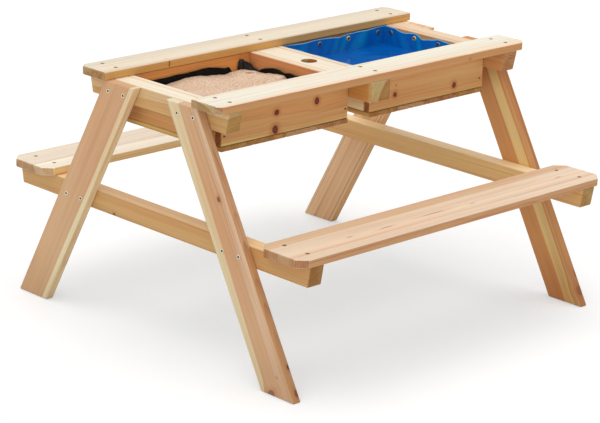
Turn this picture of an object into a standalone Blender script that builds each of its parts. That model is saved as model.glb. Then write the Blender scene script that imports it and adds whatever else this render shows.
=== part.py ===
"""Child's picnic table with a sandbox and a water tub hung under its top.

Two A-frames of splayed legs carry three top rails and two seat rails. Two planks lie on the top
rails and two benches on the seat rails. Between the top rails hang two open boxes of thin boards:
the left one holds a fabric liner with sand, the right one a waterproof liner with water.

Metres, +X along the planks, +Y to the rear, +Z up. The origin is on the floor, under the middle.
"""

import math

import bmesh
import bpy
from mathutils import Matrix, Vector

# Driving dimensions: the top
TABLE_LENGTH = 0.920
TABLE_HEIGHT = 0.564
TOP_OPENING = 0.274
TOP_PLANK_WIDTH = 0.085
TOP_PLANK_THICKNESS = 0.018
TOP_CORNER_CLIP = 0.0125
TOP_SCREW_EDGE_DISTANCE = 0.0205

# Driving dimensions: the benches
SEAT_HEIGHT = 0.306
BENCH_OPENING = 0.676
BENCH_WIDTH = 0.130
BENCH_THICKNESS = 0.018
BENCH_CORNER_CLIP = 0.022
BENCH_SCREW_EDGE_DISTANCE = 0.032

# Driving dimensions: the legs, whose offsets are measured to the middle of the board
LEG_WIDTH = 0.084
LEG_THICKNESS = 0.021
LEG_FOOT_OFFSET = 0.401
LEG_TOP_OFFSET = 0.098
LEG_END_INSET = 0.007
LEG_SCREW_SPACING = 0.049

# Driving dimensions: the rails, cut back by the undercut along their lower edge
RAIL_THICKNESS = 0.037
RAIL_DEPTH = 0.044
CENTRE_RAIL_THICKNESS = 0.063
TOP_RAIL_END_INSET = 0.0005
TOP_RAIL_UNDERCUT = 0.0095
SEAT_RAIL_END_INSET = 0.002
SEAT_RAIL_UNDERCUT = 0.008
CENTRE_RAIL_END_CHAMFER = 0.006
PARASOL_HOLE_DIAMETER = 0.036

# Driving dimensions: the two boxes, whose front and rear walls stand under the planks' inner edges
BOX_REACH_UNDER_PLANK = 0.0185
BOX_WALL_HEIGHT = 0.090
BOX_WALL_THICKNESS = 0.015
BOX_FLOOR_THICKNESS = 0.010
BOX_FLOOR_OVERHANG = 0.002
FLOOR_BOARD_GAP = 0.0015
FLOOR_BOARD_COUNT = 4

# Driving dimensions: the liners and what they hold; a drop is measured from the walls' top edge
SAND_LINER_THICKNESS = 0.0012
SAND_LINER_DROP = 0.022
SAND_LINER_WAVE = 0.0035
SAND_LINER_WAVE_LENGTH = 0.110
SAND_LINER_EAR_RISE = 0.012
SAND_LINER_EAR_WIDTH = 0.036
SAND_LINER_EAR_FROM_CORNER = 0.032
SAND_DEPTH = 0.052
SAND_MOUND_RISE = 0.010
SAND_MOUND_RADIUS = 0.055
WATER_LINER_THICKNESS = 0.0015
WATER_LINER_DROP = 0.003
WATER_LINER_SAG = 0.005
WATER_DEPTH = 0.048
EYELET_CORNER_DISTANCE = 0.025
EYELETS_PER_WALL = 4

# Driving dimensions: the screws
LEG_SCREW_RADIUS = 0.0030
LEG_SCREW_HEAD_RADIUS = 0.0056
LEG_SCREW_HEAD_HEIGHT = 0.0030
LEG_SCREW_BITE_SHARE = 0.72
BENCH_SCREW_RADIUS = 0.0025
BENCH_SCREW_HEAD_RADIUS = 0.0045
BENCH_SCREW_HEAD_HEIGHT = 0.0026
BENCH_SCREW_SINK = 0.0015
BENCH_SCREW_BITE_SHARE = 0.62
SOCKET_RADIUS_SHARE = 0.46
SOCKET_DEPTH_SHARE = 0.75
SCREW_POINT_SHARE = 1.6

# Clearances and edges
GAP = 0.0003
HOLE_SPARE_DEPTH = 0.001
CUT_OVERRUN = 0.002
BOARD_ARRIS = 0.0015
LEG_ARRIS = 0.0028
MERGE_DISTANCE = 0.000001
SHARP_ANGLE = math.radians(30)

# Facets
SCREW_SEGMENTS = 12
PARASOL_HOLE_SEGMENTS = 40
LINER_CUTS = 27
SAND_CELLS_LONG = 16
SAND_CELLS_DEEP = 13

# Where the sand's mounds stand and how high they are: shares of the box's half sizes and of the rise
SAND_MOUND_SHARES = (
    (0.62, 0.45, 1.0),
    (-0.05, 0.10, 0.7),
    (-0.60, 0.35, 0.8),
    (0.35, -0.55, -0.5),
    (-0.45, -0.60, 0.4),
)

# Levels and places that follow from the driving dimensions
RAIL_TOP = TABLE_HEIGHT - TOP_PLANK_THICKNESS - GAP
SEAT_RAIL_TOP = SEAT_HEIGHT - BENCH_THICKNESS - GAP
PLANK_OUTER_EDGE = TOP_OPENING / 2 + TOP_PLANK_WIDTH
BENCH_OUTER_EDGE = BENCH_OPENING / 2 + BENCH_WIDTH
LEG_OUTER_FACE = TABLE_LENGTH / 2 - LEG_END_INSET
RAIL_OUTER_FACE = LEG_OUTER_FACE - LEG_THICKNESS - GAP
RAIL_INNER_FACE = RAIL_OUTER_FACE - RAIL_THICKNESS
RAIL_CENTRE = (RAIL_OUTER_FACE + RAIL_INNER_FACE) / 2
LEG_SLOPE = (LEG_FOOT_OFFSET - LEG_TOP_OFFSET) / RAIL_TOP
LEG_SPAN_ALONG_FLOOR = LEG_WIDTH * math.sqrt(1 + LEG_SLOPE ** 2)
BOX_LENGTH = RAIL_INNER_FACE - CENTRE_RAIL_THICKNESS / 2 - 2 * GAP
BOX_DEPTH = TOP_OPENING + 2 * BOX_REACH_UNDER_PLANK
BOX_CENTRE = (RAIL_INNER_FACE + CENTRE_RAIL_THICKNESS / 2) / 2
BOX_FLOOR_TOP = RAIL_TOP - BOX_WALL_HEIGHT - GAP
INSIDE_LENGTH = BOX_LENGTH - 2 * (BOX_WALL_THICKNESS + GAP)
INSIDE_DEPTH = BOX_DEPTH - 2 * (BOX_WALL_THICKNESS + GAP)
INSIDE_BOTTOM = BOX_FLOOR_TOP + GAP

# Colours, as sRGB hex, with roughness and metallic
FINISHES = {
    "plank": ("E9D6BA", 0.62, 0.0),
    "leg": ("CDA57C", 0.60, 0.0),
    "rail": ("C69A62", 0.60, 0.0),
    "box": ("C08A5A", 0.62, 0.0),
    "floor": ("9C6E42", 0.68, 0.0),
    "leg_screw": ("C9C6BE", 0.35, 0.9),
    "bench_screw": ("6B5A48", 0.45, 0.7),
    "sand_liner": ("17171A", 0.55, 0.0),
    "sand": ("D9BFA8", 0.95, 0.0),
    "water_liner": ("0B56A8", 0.30, 0.0),
    "water": ("2E86D0", 0.08, 0.0),
}


def clear_scene():
    """Empty the scene so that the script can be run again."""
    for old in list(bpy.data.objects):
        bpy.data.objects.remove(old, do_unlink=True)


def new_collection(name):
    collection = bpy.data.collections.new(name)
    bpy.context.scene.collection.children.link(collection)
    return collection


def linear(channel):
    return channel / 12.92 if channel <= 0.04045 else ((channel + 0.055) / 1.055) ** 2.4


def new_material(name, finish):
    """One Principled material for one piece."""
    code, roughness, metallic = FINISHES[finish]
    colour = [linear(int(code[i:i + 2], 16) / 255) for i in (0, 2, 4)]
    material = bpy.data.materials.new(name + "_finish")
    material.use_nodes = True
    shader = material.node_tree.nodes["Principled BSDF"]
    shader.inputs["Base Color"].default_value = (*colour, 1.0)
    shader.inputs["Roughness"].default_value = roughness
    shader.inputs["Metallic"].default_value = metallic
    material.diffuse_color = (*colour, 1.0)
    return material


def to_mesh(bm, name):
    """Turn a bmesh into mesh data with its faces pointing out."""
    bmesh.ops.recalc_face_normals(bm, faces=bm.faces)
    mesh = bpy.data.meshes.new(name)
    bm.to_mesh(mesh)
    bm.free()
    return mesh


def shade_round(mesh):
    """Shade a round piece smooth, but for its real edges."""
    mesh.shade_smooth()
    mesh.set_sharp_from_angle(angle=SHARP_ANGLE)


class Builder:
    """Places the pieces and their cutters under one empty."""

    def __init__(self):
        clear_scene()
        self.pieces = new_collection("picnic_table")
        self.cutters = new_collection("cutters")
        self.frame = bpy.data.objects.new("table_middle", None)
        self.pieces.objects.link(self.frame)

    def piece(self, name, mesh, finish, location=(0, 0, 0), rotation=(0, 0, 0)):
        """Add one piece with a material of its own."""
        part = bpy.data.objects.new(name, mesh)
        part.location = location
        part.rotation_euler = rotation
        part.parent = self.frame
        self.pieces.objects.link(part)
        if not mesh.materials:
            mesh.materials.append(None)
        part.material_slots[0].link = "OBJECT"
        part.material_slots[0].material = new_material(name, finish)
        return part

    def cutter(self, name, mesh):
        tool = bpy.data.objects.new(name, mesh)
        tool.hide_render = True
        tool.display_type = "WIRE"
        self.cutters.objects.link(tool)
        return tool

    def cut(self, part, bm):
        """Cut a bmesh of closed tools, in the table's own coordinates, out of a piece."""
        tool = self.cutter(part.name + "_cutter", to_mesh(bm, part.name + "_cutter"))
        boolean = part.modifiers.new("holes", "BOOLEAN")
        boolean.operation = "DIFFERENCE"
        boolean.solver = "EXACT"
        boolean.object = tool


def soften(part, width, segments=1):
    """Round the arrises of a sawn and planed board."""
    bevel = part.modifiers.new("arris", "BEVEL")
    bevel.width = width
    bevel.segments = segments
    bevel.limit_method = "ANGLE"
    bevel.angle_limit = SHARP_ANGLE
    return bevel


def block(size):
    """A box about the origin, as a bmesh."""
    bm = bmesh.new()
    bmesh.ops.create_cube(bm, size=1.0)
    bmesh.ops.scale(bm, vec=Vector(size), verts=bm.verts)
    return bm


def clip_upright_edges(bm, clip, wanted):
    """Cut off the upright edges whose middle the test picks out."""
    chosen = []
    for edge in bm.edges:
        low, high = edge.verts
        upright = abs(low.co.x - high.co.x) < MERGE_DISTANCE and abs(low.co.y - high.co.y) < MERGE_DISTANCE
        if upright and wanted(low.co):
            chosen.append(edge)
    bmesh.ops.bevel(bm, geom=chosen, offset=clip, segments=1, profile=0.5, affect="EDGES")


def turned(bm, profile, matrix, segments=SCREW_SEGMENTS):
    """Turn a profile of (radius, height) points that starts and ends on the axis."""
    points = [bm.verts.new(matrix @ Vector((radius, 0, height))) for radius, height in profile]
    edges = [bm.edges.new(pair) for pair in zip(points, points[1:])]
    axis = matrix.to_3x3() @ Vector((0, 0, 1))
    bmesh.ops.spin(bm, geom=points + edges, cent=matrix.translation, axis=axis, dvec=(0, 0, 0),
                   angle=2 * math.pi, steps=segments, use_merge=True, use_duplicate=False)
    bmesh.ops.remove_doubles(bm, verts=bm.verts, dist=MERGE_DISTANCE)


def screw_profile(radius, head_radius, head_height, length):
    """A countersunk screw: its head's top is at height zero and its point at -length."""
    point = radius * SCREW_POINT_SHARE
    return ((0, 0), (head_radius, 0), (radius, -head_height), (radius, -length + point), (0, -length))


def hole_profile(radius, head_radius, head_height, sink, depth):
    """The hole for such a screw, from above the surface down to its depth."""
    wide = head_radius + GAP
    narrow = radius + GAP
    return ((0, CUT_OVERRUN), (wide, CUT_OVERRUN), (wide, -sink), (narrow, -sink - head_height),
            (narrow, -depth), (0, -depth))


def pilot_profile(radius, depth):
    narrow = radius + GAP
    return ((0, CUT_OVERRUN), (narrow, CUT_OVERRUN), (narrow, -depth), (0, -depth))


def screw_mesh(name, radius, head_radius, head_height, length):
    """A turned screw with a hexagon socket in its head, shared by all copies."""
    bm = bmesh.new()
    points = [bm.verts.new((across, 0, height))
              for across, height in screw_profile(radius, head_radius, head_height, length)]
    for pair in zip(points, points[1:]):
        bm.edges.new(pair)
    outline = bpy.data.meshes.new(name + "_outline")
    bm.to_mesh(outline)
    bm.free()
    blank = bpy.data.objects.new(name + "_blank", outline)
    lathe = blank.modifiers.new("lathe", "SCREW")
    lathe.steps = SCREW_SEGMENTS
    lathe.render_steps = SCREW_SEGMENTS
    lathe.use_merge_vertices = True
    lathe.merge_threshold = MERGE_DISTANCE
    bm = bmesh.new()
    socket_depth = head_height * SOCKET_DEPTH_SHARE
    socket_radius = head_radius * SOCKET_RADIUS_SHARE
    height = socket_depth + CUT_OVERRUN
    bmesh.ops.create_cone(bm, cap_ends=True, segments=6, radius1=socket_radius, radius2=socket_radius,
                          depth=height, matrix=Matrix.Translation((0, 0, height / 2 - socket_depth)))
    tool = bpy.data.objects.new(name + "_socket", to_mesh(bm, name + "_socket"))
    for item in (blank, tool):
        bpy.context.scene.collection.objects.link(item)
    boolean = blank.modifiers.new("socket", "BOOLEAN")
    boolean.solver = "EXACT"
    boolean.object = tool
    shaped = blank.evaluated_get(bpy.context.evaluated_depsgraph_get())
    mesh = bpy.data.meshes.new_from_object(shaped)
    mesh.name = name
    shade_round(mesh)
    for item in (blank, tool):
        bpy.data.objects.remove(item, do_unlink=True)
    return mesh


def leg_middle(height):
    """How far the middle of a leg stands from the table's middle, at a height above the floor."""
    return LEG_FOOT_OFFSET - LEG_SLOPE * height


def leg_screw_places(end, side, level):
    """The two screws that hold a leg to a rail whose middle is at this level, outer face first."""
    middle = side * leg_middle(level)
    for name, shift in (("inner", -1), ("outer", 1)):
        across = middle + side * shift * LEG_SCREW_SPACING / 2
        yield name, Vector((end * LEG_OUTER_FACE, across, level))


def outward(end):
    """The turn that points a screw's head out of the table's end."""
    return (0, end * math.pi / 2, 0)


def board_screw_rows(opening, width, edge_distance):
    """Distances from the table's middle to the two screw rows of a plank or bench."""
    inner = opening / 2 + edge_distance
    outer = opening / 2 + width - edge_distance
    return (("inner", inner), ("outer", outer))


TOP_SCREW_ROWS = board_screw_rows(TOP_OPENING, TOP_PLANK_WIDTH, TOP_SCREW_EDGE_DISTANCE)
BENCH_SCREW_ROWS = board_screw_rows(BENCH_OPENING, BENCH_WIDTH, BENCH_SCREW_EDGE_DISTANCE)
TOP_RAIL_LEVEL = RAIL_TOP - RAIL_DEPTH / 2
SEAT_RAIL_LEVEL = SEAT_RAIL_TOP - RAIL_DEPTH / 2
LEG_SCREW_LENGTH = LEG_THICKNESS + GAP + RAIL_THICKNESS * LEG_SCREW_BITE_SHARE
BENCH_SCREW_LENGTH = BENCH_THICKNESS - BENCH_SCREW_SINK + GAP + RAIL_DEPTH * BENCH_SCREW_BITE_SHARE
ENDS = (("left", -1), ("right", 1))
SIDES = (("front", -1), ("rear", 1))


def leg_screw_hole(depth):
    return hole_profile(LEG_SCREW_RADIUS, LEG_SCREW_HEAD_RADIUS, LEG_SCREW_HEAD_HEIGHT, 0, depth)


def board_screw_hole(depth):
    return hole_profile(BENCH_SCREW_RADIUS, BENCH_SCREW_HEAD_RADIUS, BENCH_SCREW_HEAD_HEIGHT,
                        BENCH_SCREW_SINK, depth)


def add_leg(build, side_name, side, end_name, end):
    """A splayed board, cut level at the floor and at the rails' top edge."""
    bm = block((LEG_THICKNESS, LEG_SPAN_ALONG_FLOOR, RAIL_TOP))
    for vert in bm.verts:
        vert.co.y -= side * LEG_SLOPE * vert.co.z
    middle = side * leg_middle(RAIL_TOP / 2)
    centre = (end * (LEG_OUTER_FACE - LEG_THICKNESS / 2), middle, RAIL_TOP / 2)
    leg = build.piece(f"leg_{side_name}_{end_name}", to_mesh(bm, "leg"), "leg", centre)
    soften(leg, LEG_ARRIS, segments=2)
    tools = bmesh.new()
    turn = Matrix.Rotation(end * math.pi / 2, 4, "Y")
    for level in (TOP_RAIL_LEVEL, SEAT_RAIL_LEVEL):
        for _, place in leg_screw_places(end, side, level):
            turned(tools, leg_screw_hole(LEG_THICKNESS + CUT_OVERRUN), Matrix.Translation(place) @ turn)
    build.cut(leg, tools)


def add_leg_screws(build, mesh):
    for level_name, level in (("top", TOP_RAIL_LEVEL), ("seat", SEAT_RAIL_LEVEL)):
        for side_name, side in SIDES:
            for end_name, end in ENDS:
                for row_name, place in leg_screw_places(end, side, level):
                    name = f"{level_name}_screw_{side_name}_{end_name}_{row_name}"
                    build.piece(name, mesh, "leg_screw", place, outward(end))


def add_rail(build, name, end, half_length, top, undercut, screw_rows):
    """An end rail on edge, with the leg screws' and the board screws' pilot holes."""
    bm = block((RAIL_THICKNESS, 2 * half_length, RAIL_DEPTH))
    for vert in bm.verts:
        if vert.co.z < 0:
            vert.co.y -= math.copysign(undercut, vert.co.y)
    level = top - RAIL_DEPTH / 2
    rail = build.piece(name, to_mesh(bm, name), "rail", (end * RAIL_CENTRE, 0, level))
    soften(rail, BOARD_ARRIS)
    tools = bmesh.new()
    turn = Matrix.Rotation(end * math.pi / 2, 4, "Y")
    side_depth = LEG_SCREW_LENGTH - LEG_THICKNESS - GAP + HOLE_SPARE_DEPTH
    top_depth = RAIL_DEPTH * BENCH_SCREW_BITE_SHARE + HOLE_SPARE_DEPTH
    for _, side in SIDES:
        for _, place in leg_screw_places(end, side, level):
            place.x = end * RAIL_OUTER_FACE
            turned(tools, pilot_profile(LEG_SCREW_RADIUS, side_depth), Matrix.Translation(place) @ turn)
        for _, row in screw_rows:
            place = Vector((end * RAIL_CENTRE, side * row, top))
            turned(tools, pilot_profile(BENCH_SCREW_RADIUS, top_depth), Matrix.Translation(place))
    build.cut(rail, tools)


def add_centre_rail(build):
    """The wide middle rail, with the hole for a parasol pole right through it."""
    bm = block((CENTRE_RAIL_THICKNESS, 2 * PLANK_OUTER_EDGE, RAIL_DEPTH))
    clip_upright_edges(bm, CENTRE_RAIL_END_CHAMFER, lambda place: True)
    rail = build.piece("centre_rail", to_mesh(bm, "centre_rail"), "rail", (0, 0, TOP_RAIL_LEVEL))
    soften(rail, BOARD_ARRIS)
    tools = bmesh.new()
    hole = ((0, CUT_OVERRUN), (PARASOL_HOLE_DIAMETER / 2, CUT_OVERRUN),
            (PARASOL_HOLE_DIAMETER / 2, -RAIL_DEPTH - CUT_OVERRUN), (0, -RAIL_DEPTH - CUT_OVERRUN))
    turned(tools, hole, Matrix.Translation((0, 0, RAIL_TOP)), PARASOL_HOLE_SEGMENTS)
    depth = RAIL_DEPTH * BENCH_SCREW_BITE_SHARE + HOLE_SPARE_DEPTH
    for _, side in SIDES:
        for _, row in TOP_SCREW_ROWS:
            place = Matrix.Translation((0, side * row, RAIL_TOP))
            turned(tools, pilot_profile(BENCH_SCREW_RADIUS, depth), place)
    build.cut(rail, tools)


def add_top_plank(build, side_name, side):
    """A plank whose two outer corners are clipped, screwed down to all three top rails."""
    bm = block((TABLE_LENGTH, TOP_PLANK_WIDTH, TOP_PLANK_THICKNESS))
    clip_upright_edges(bm, TOP_CORNER_CLIP, lambda place: place.y * side > 0)
    centre = (0, side * (TOP_OPENING + TOP_PLANK_WIDTH) / 2, TABLE_HEIGHT - TOP_PLANK_THICKNESS / 2)
    plank = build.piece(f"top_plank_{side_name}", to_mesh(bm, "top_plank"), "plank", centre)
    soften(plank, BOARD_ARRIS)
    tools = bmesh.new()
    for along in (-RAIL_CENTRE, 0, RAIL_CENTRE):
        for _, row in TOP_SCREW_ROWS:
            place = Matrix.Translation((along, side * row, TABLE_HEIGHT))
            turned(tools, board_screw_hole(TOP_PLANK_THICKNESS + CUT_OVERRUN), place)
    build.cut(plank, tools)


def add_bench(build, side_name, side, mesh):
    """A seat board with four clipped corners, and its four screws."""
    bm = block((TABLE_LENGTH, BENCH_WIDTH, BENCH_THICKNESS))
    clip_upright_edges(bm, BENCH_CORNER_CLIP, lambda place: True)
    centre = (0, side * (BENCH_OPENING + BENCH_WIDTH) / 2, SEAT_HEIGHT - BENCH_THICKNESS / 2)
    bench = build.piece(f"bench_{side_name}", to_mesh(bm, "bench"), "plank", centre)
    soften(bench, BOARD_ARRIS)
    tools = bmesh.new()
    for end_name, end in ENDS:
        for row_name, row in BENCH_SCREW_ROWS:
            spot = Vector((end * RAIL_CENTRE, side * row, SEAT_HEIGHT))
            turned(tools, board_screw_hole(BENCH_THICKNESS + CUT_OVERRUN), Matrix.Translation(spot))
            spot.z -= BENCH_SCREW_SINK
            build.piece(f"bench_screw_{side_name}_{end_name}_{row_name}", mesh, "bench_screw", spot)
    build.cut(bench, tools)


def add_box(build, name, end):
    """Four walls and a floor of boards, open at the top, hung between two top rails."""
    middle = end * BOX_CENTRE
    level = RAIL_TOP - BOX_WALL_HEIGHT / 2
    for side_name, side in SIDES:
        bm = block((BOX_LENGTH, BOX_WALL_THICKNESS, BOX_WALL_HEIGHT))
        place = (middle, side * (BOX_DEPTH - BOX_WALL_THICKNESS) / 2, level)
        soften(build.piece(f"{name}_wall_{side_name}", to_mesh(bm, "wall"), "box", place), BOARD_ARRIS)
    for side_name, side in ENDS:
        bm = block((BOX_WALL_THICKNESS, INSIDE_DEPTH, BOX_WALL_HEIGHT))
        place = (middle + side * (BOX_LENGTH - BOX_WALL_THICKNESS) / 2, 0, level)
        soften(build.piece(f"{name}_wall_{side_name}", to_mesh(bm, "wall"), "box", place), BOARD_ARRIS)
    pitch = (BOX_LENGTH + FLOOR_BOARD_GAP) / FLOOR_BOARD_COUNT
    for index in range(FLOOR_BOARD_COUNT):
        bm = block((pitch - FLOOR_BOARD_GAP, BOX_DEPTH + 2 * BOX_FLOOR_OVERHANG, BOX_FLOOR_THICKNESS))
        along = middle + (index - (FLOOR_BOARD_COUNT - 1) / 2) * pitch
        place = (along, 0, BOX_FLOOR_TOP - BOX_FLOOR_THICKNESS / 2)
        floor = build.piece(f"{name}_floor_{index + 1}", to_mesh(bm, "floor_board"), "floor", place)
        soften(floor, BOARD_ARRIS)


def tray(half_long, half_deep, rim):
    """An open-topped tray whose rim height follows a function of the place along it."""
    bm = block((2 * half_long, 2 * half_deep, 1))
    lid = [face for face in bm.faces if face.normal.z > 0.5]
    edges = lid[0].edges[:]
    bmesh.ops.delete(bm, geom=lid, context="FACES_ONLY")
    bmesh.ops.subdivide_edges(bm, edges=edges, cuts=LINER_CUTS)
    for vert in bm.verts:
        vert.co.z = rim(vert.co) if vert.co.z > 0 else 0
    return bm


def sand_rim(place):
    """A slack fabric edge that waves along the walls and stands up in an ear at the rear right."""
    along = place.x + place.y
    wave = SAND_LINER_WAVE * math.sin(2 * math.pi * along / SAND_LINER_WAVE_LENGTH)
    ear_middle = INSIDE_LENGTH / 2 - SAND_LINER_EAR_FROM_CORNER
    reach = abs(place.x - ear_middle) / SAND_LINER_EAR_WIDTH
    ear = SAND_LINER_EAR_RISE * max(0, 1 - 2 * reach) if place.y > INSIDE_DEPTH / 4 else 0
    return RAIL_TOP - SAND_LINER_DROP + wave + ear - INSIDE_BOTTOM


def water_rim(place):
    """A liner edge held up at the eyelets of each wall that sags between them."""
    along, length = place.x, INSIDE_LENGTH
    if abs(place.x) / INSIDE_LENGTH > abs(place.y) / INSIDE_DEPTH:
        along, length = place.y, INSIDE_DEPTH
    spans = EYELETS_PER_WALL - 1
    held_length = length - 2 * EYELET_CORNER_DISTANCE
    reach = (along / held_length + 0.5) * spans
    sag = WATER_LINER_SAG * math.sin(math.pi * reach) ** 2 if 0 < reach < spans else 0
    return RAIL_TOP - WATER_LINER_DROP - sag - INSIDE_BOTTOM


def add_liner(build, name, end, thickness, rim):
    """A sheet pressed against the inside of a box."""
    bm = tray(INSIDE_LENGTH / 2 - GAP, INSIDE_DEPTH / 2 - GAP, rim)
    liner = build.piece(name, to_mesh(bm, name), name, (end * BOX_CENTRE, 0, INSIDE_BOTTOM))
    wall = liner.modifiers.new("sheet", "SOLIDIFY")
    wall.thickness = thickness
    wall.offset = -1
    wall.use_even_offset = True


def sand_height(x, y, half_long, half_deep):
    """Height of the sand above its underside, from mounds worked out by a formula."""
    height = SAND_DEPTH
    for along_share, across_share, rise_share in SAND_MOUND_SHARES:
        dx = x - along_share * half_long
        dy = y - across_share * half_deep
        spread = (dx * dx + dy * dy) / SAND_MOUND_RADIUS ** 2
        height += rise_share * SAND_MOUND_RISE * math.exp(-spread)
    return height


def add_sand(build):
    half_long = INSIDE_LENGTH / 2 - SAND_LINER_THICKNESS - 2 * GAP
    half_deep = INSIDE_DEPTH / 2 - SAND_LINER_THICKNESS - 2 * GAP
    bm = bmesh.new()
    bmesh.ops.create_grid(bm, x_segments=SAND_CELLS_LONG, y_segments=SAND_CELLS_DEEP, size=1.0)
    for vert in bm.verts:
        vert.co.x *= half_long
        vert.co.y *= half_deep
        vert.co.z = sand_height(vert.co.x, vert.co.y, half_long, half_deep)
    border = [edge for edge in bm.edges if edge.is_boundary]
    skirt = bmesh.ops.extrude_edge_only(bm, edges=border)["geom"]
    for item in skirt:
        if isinstance(item, bmesh.types.BMVert):
            item.co.z = 0
    bmesh.ops.holes_fill(bm, edges=[edge for edge in bm.edges if edge.is_boundary])
    bottom = INSIDE_BOTTOM + SAND_LINER_THICKNESS + GAP
    mesh = to_mesh(bm, "sand")
    shade_round(mesh)
    build.piece("sand", mesh, "sand", (-BOX_CENTRE, 0, bottom))


def add_water(build):
    long = INSIDE_LENGTH - 2 * (WATER_LINER_THICKNESS + 2 * GAP)
    deep = INSIDE_DEPTH - 2 * (WATER_LINER_THICKNESS + 2 * GAP)
    bottom = INSIDE_BOTTOM + WATER_LINER_THICKNESS + GAP
    mesh = to_mesh(block((long, deep, WATER_DEPTH)), "water")
    build.piece("water", mesh, "water", (BOX_CENTRE, 0, bottom + WATER_DEPTH / 2))


def main():
    build = Builder()
    leg_screw = screw_mesh("leg_screw", LEG_SCREW_RADIUS, LEG_SCREW_HEAD_RADIUS,
                           LEG_SCREW_HEAD_HEIGHT, LEG_SCREW_LENGTH)
    bench_screw = screw_mesh("bench_screw", BENCH_SCREW_RADIUS, BENCH_SCREW_HEAD_RADIUS,
                             BENCH_SCREW_HEAD_HEIGHT, BENCH_SCREW_LENGTH)
    for end_name, end in ENDS:
        add_rail(build, f"top_rail_{end_name}", end, PLANK_OUTER_EDGE - TOP_RAIL_END_INSET,
                 RAIL_TOP, TOP_RAIL_UNDERCUT, TOP_SCREW_ROWS)
        add_rail(build, f"seat_rail_{end_name}", end, BENCH_OUTER_EDGE - SEAT_RAIL_END_INSET,
                 SEAT_RAIL_TOP, SEAT_RAIL_UNDERCUT, BENCH_SCREW_ROWS)
        for side_name, side in SIDES:
            add_leg(build, side_name, side, end_name, end)
    add_centre_rail(build)
    add_leg_screws(build, leg_screw)
    for side_name, side in SIDES:
        add_top_plank(build, side_name, side)
        add_bench(build, side_name, side, bench_screw)
    add_box(build, "sandbox", -1)
    add_box(build, "water_box", 1)
    add_liner(build, "sand_liner", -1, SAND_LINER_THICKNESS, sand_rim)
    add_sand(build)
    add_liner(build, "water_liner", 1, WATER_LINER_THICKNESS, water_rim)
    add_water(build)
    bpy.context.view_layer.update()


main()
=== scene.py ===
"""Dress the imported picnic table: planed timber, screws, box linings, sand, water, light and camera.

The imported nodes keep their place: +X runs along the planks, +Y to the rear bench, +Z up, in metres.
Sizes that end in _mm are real millimetres and are turned to metres where they are used.
"""

from __future__ import annotations

import logging
import math
from dataclasses import dataclass, field, replace
from enum import Enum

import bmesh
import bpy
from mathutils import Matrix, Vector, noise


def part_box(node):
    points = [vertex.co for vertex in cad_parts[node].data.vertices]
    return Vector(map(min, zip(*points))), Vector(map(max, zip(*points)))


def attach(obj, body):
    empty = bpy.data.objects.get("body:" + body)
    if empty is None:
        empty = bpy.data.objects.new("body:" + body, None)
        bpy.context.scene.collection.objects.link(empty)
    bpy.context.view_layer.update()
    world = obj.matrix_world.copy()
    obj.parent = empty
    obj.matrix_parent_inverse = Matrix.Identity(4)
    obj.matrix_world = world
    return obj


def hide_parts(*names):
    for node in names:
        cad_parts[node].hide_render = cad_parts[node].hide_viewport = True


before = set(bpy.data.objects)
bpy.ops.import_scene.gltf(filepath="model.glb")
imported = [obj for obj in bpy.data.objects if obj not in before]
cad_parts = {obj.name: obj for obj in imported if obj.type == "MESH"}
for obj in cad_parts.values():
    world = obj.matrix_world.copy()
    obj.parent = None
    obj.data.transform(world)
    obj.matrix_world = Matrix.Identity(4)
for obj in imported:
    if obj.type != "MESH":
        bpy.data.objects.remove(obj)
LOG = logging.getLogger("picnic_table")
BODY = "root"
MM = 0.001
CREASE_DEG = 35
Pair, Triple = tuple[float, float], tuple[float, float, float]
Points = tuple[Pair, ...]
Colour = tuple[float, float, float, float]
Material, Tree = bpy.types.Material, bpy.types.NodeTree
# What feeds a socket: another socket, or a node, which stands for its first output
Source = bpy.types.Node | bpy.types.NodeSocket
# Settings that nodes share: a mix of two colours, one colour times another, and a range with soft ends
BLEND = {"data_type": "RGBA"}
TINT = {"data_type": "RGBA", "blend_type": "MULTIPLY"}
SOFT = {"interpolation_type": "SMOOTHSTEP"}


def linear(code: str) -> Colour:
    """Turn an sRGB hex code into a linear colour.

    Args:
        code: six hexadecimal digits.

    Returns:
        Red, green, blue and an alpha of one.
    """
    channels = []
    for start in (0, 2, 4):
        share = int(code[start:start + 2], 16) / 255
        channels.append(share / 12.92 if share <= 0.04045 else ((share + 0.055) / 1.055) ** 2.4)
    return (*channels, 1.0)


def feed(node: bpy.types.Node, inputs: dict) -> None:
    """Give a node its values and its links.

    Args:
        node: the node.
        inputs: socket names or numbers, each with a value, with the socket that feeds it, or with a node,
            which stands for its first output.
    """
    for name, value in inputs.items():
        source = value.outputs[0] if isinstance(value, bpy.types.Node) else value
        if isinstance(source, bpy.types.NodeSocket):
            node.id_data.links.new(source, node.inputs[name])
        else:
            node.inputs[name].default_value = source


def add_node(tree: Tree, kind: str, inputs: dict | None = None, **settings) -> bpy.types.Node:
    """Add a node with its settings, its values and its links.

    Args:
        tree: the node tree that takes the node.
        kind: Blender's name of the node type, without the ShaderNode that most of them start with.
        inputs: what feeds it.
        **settings: properties of the node itself.

    Returns:
        The new node.
    """
    node = tree.nodes.new(kind if kind.startswith("NodeGroup") else f"ShaderNode{kind}")
    for name, value in settings.items():
        setattr(node, name, value)
    feed(node, inputs or {})
    return node


def new_material(name: str) -> tuple[Material, Tree, bpy.types.Node]:
    """Make an empty material with its shader and its output.

    Args:
        name: the material's name.

    Returns:
        The material, its tree and its Principled shader.
    """
    material = bpy.data.materials.new(name)
    material.use_nodes = True
    tree = material.node_tree
    tree.nodes.clear()
    shader = add_node(tree, "BsdfPrincipled")
    add_node(tree, "OutputMaterial", {"Surface": shader.outputs["BSDF"]})
    return material, tree, shader


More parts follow.
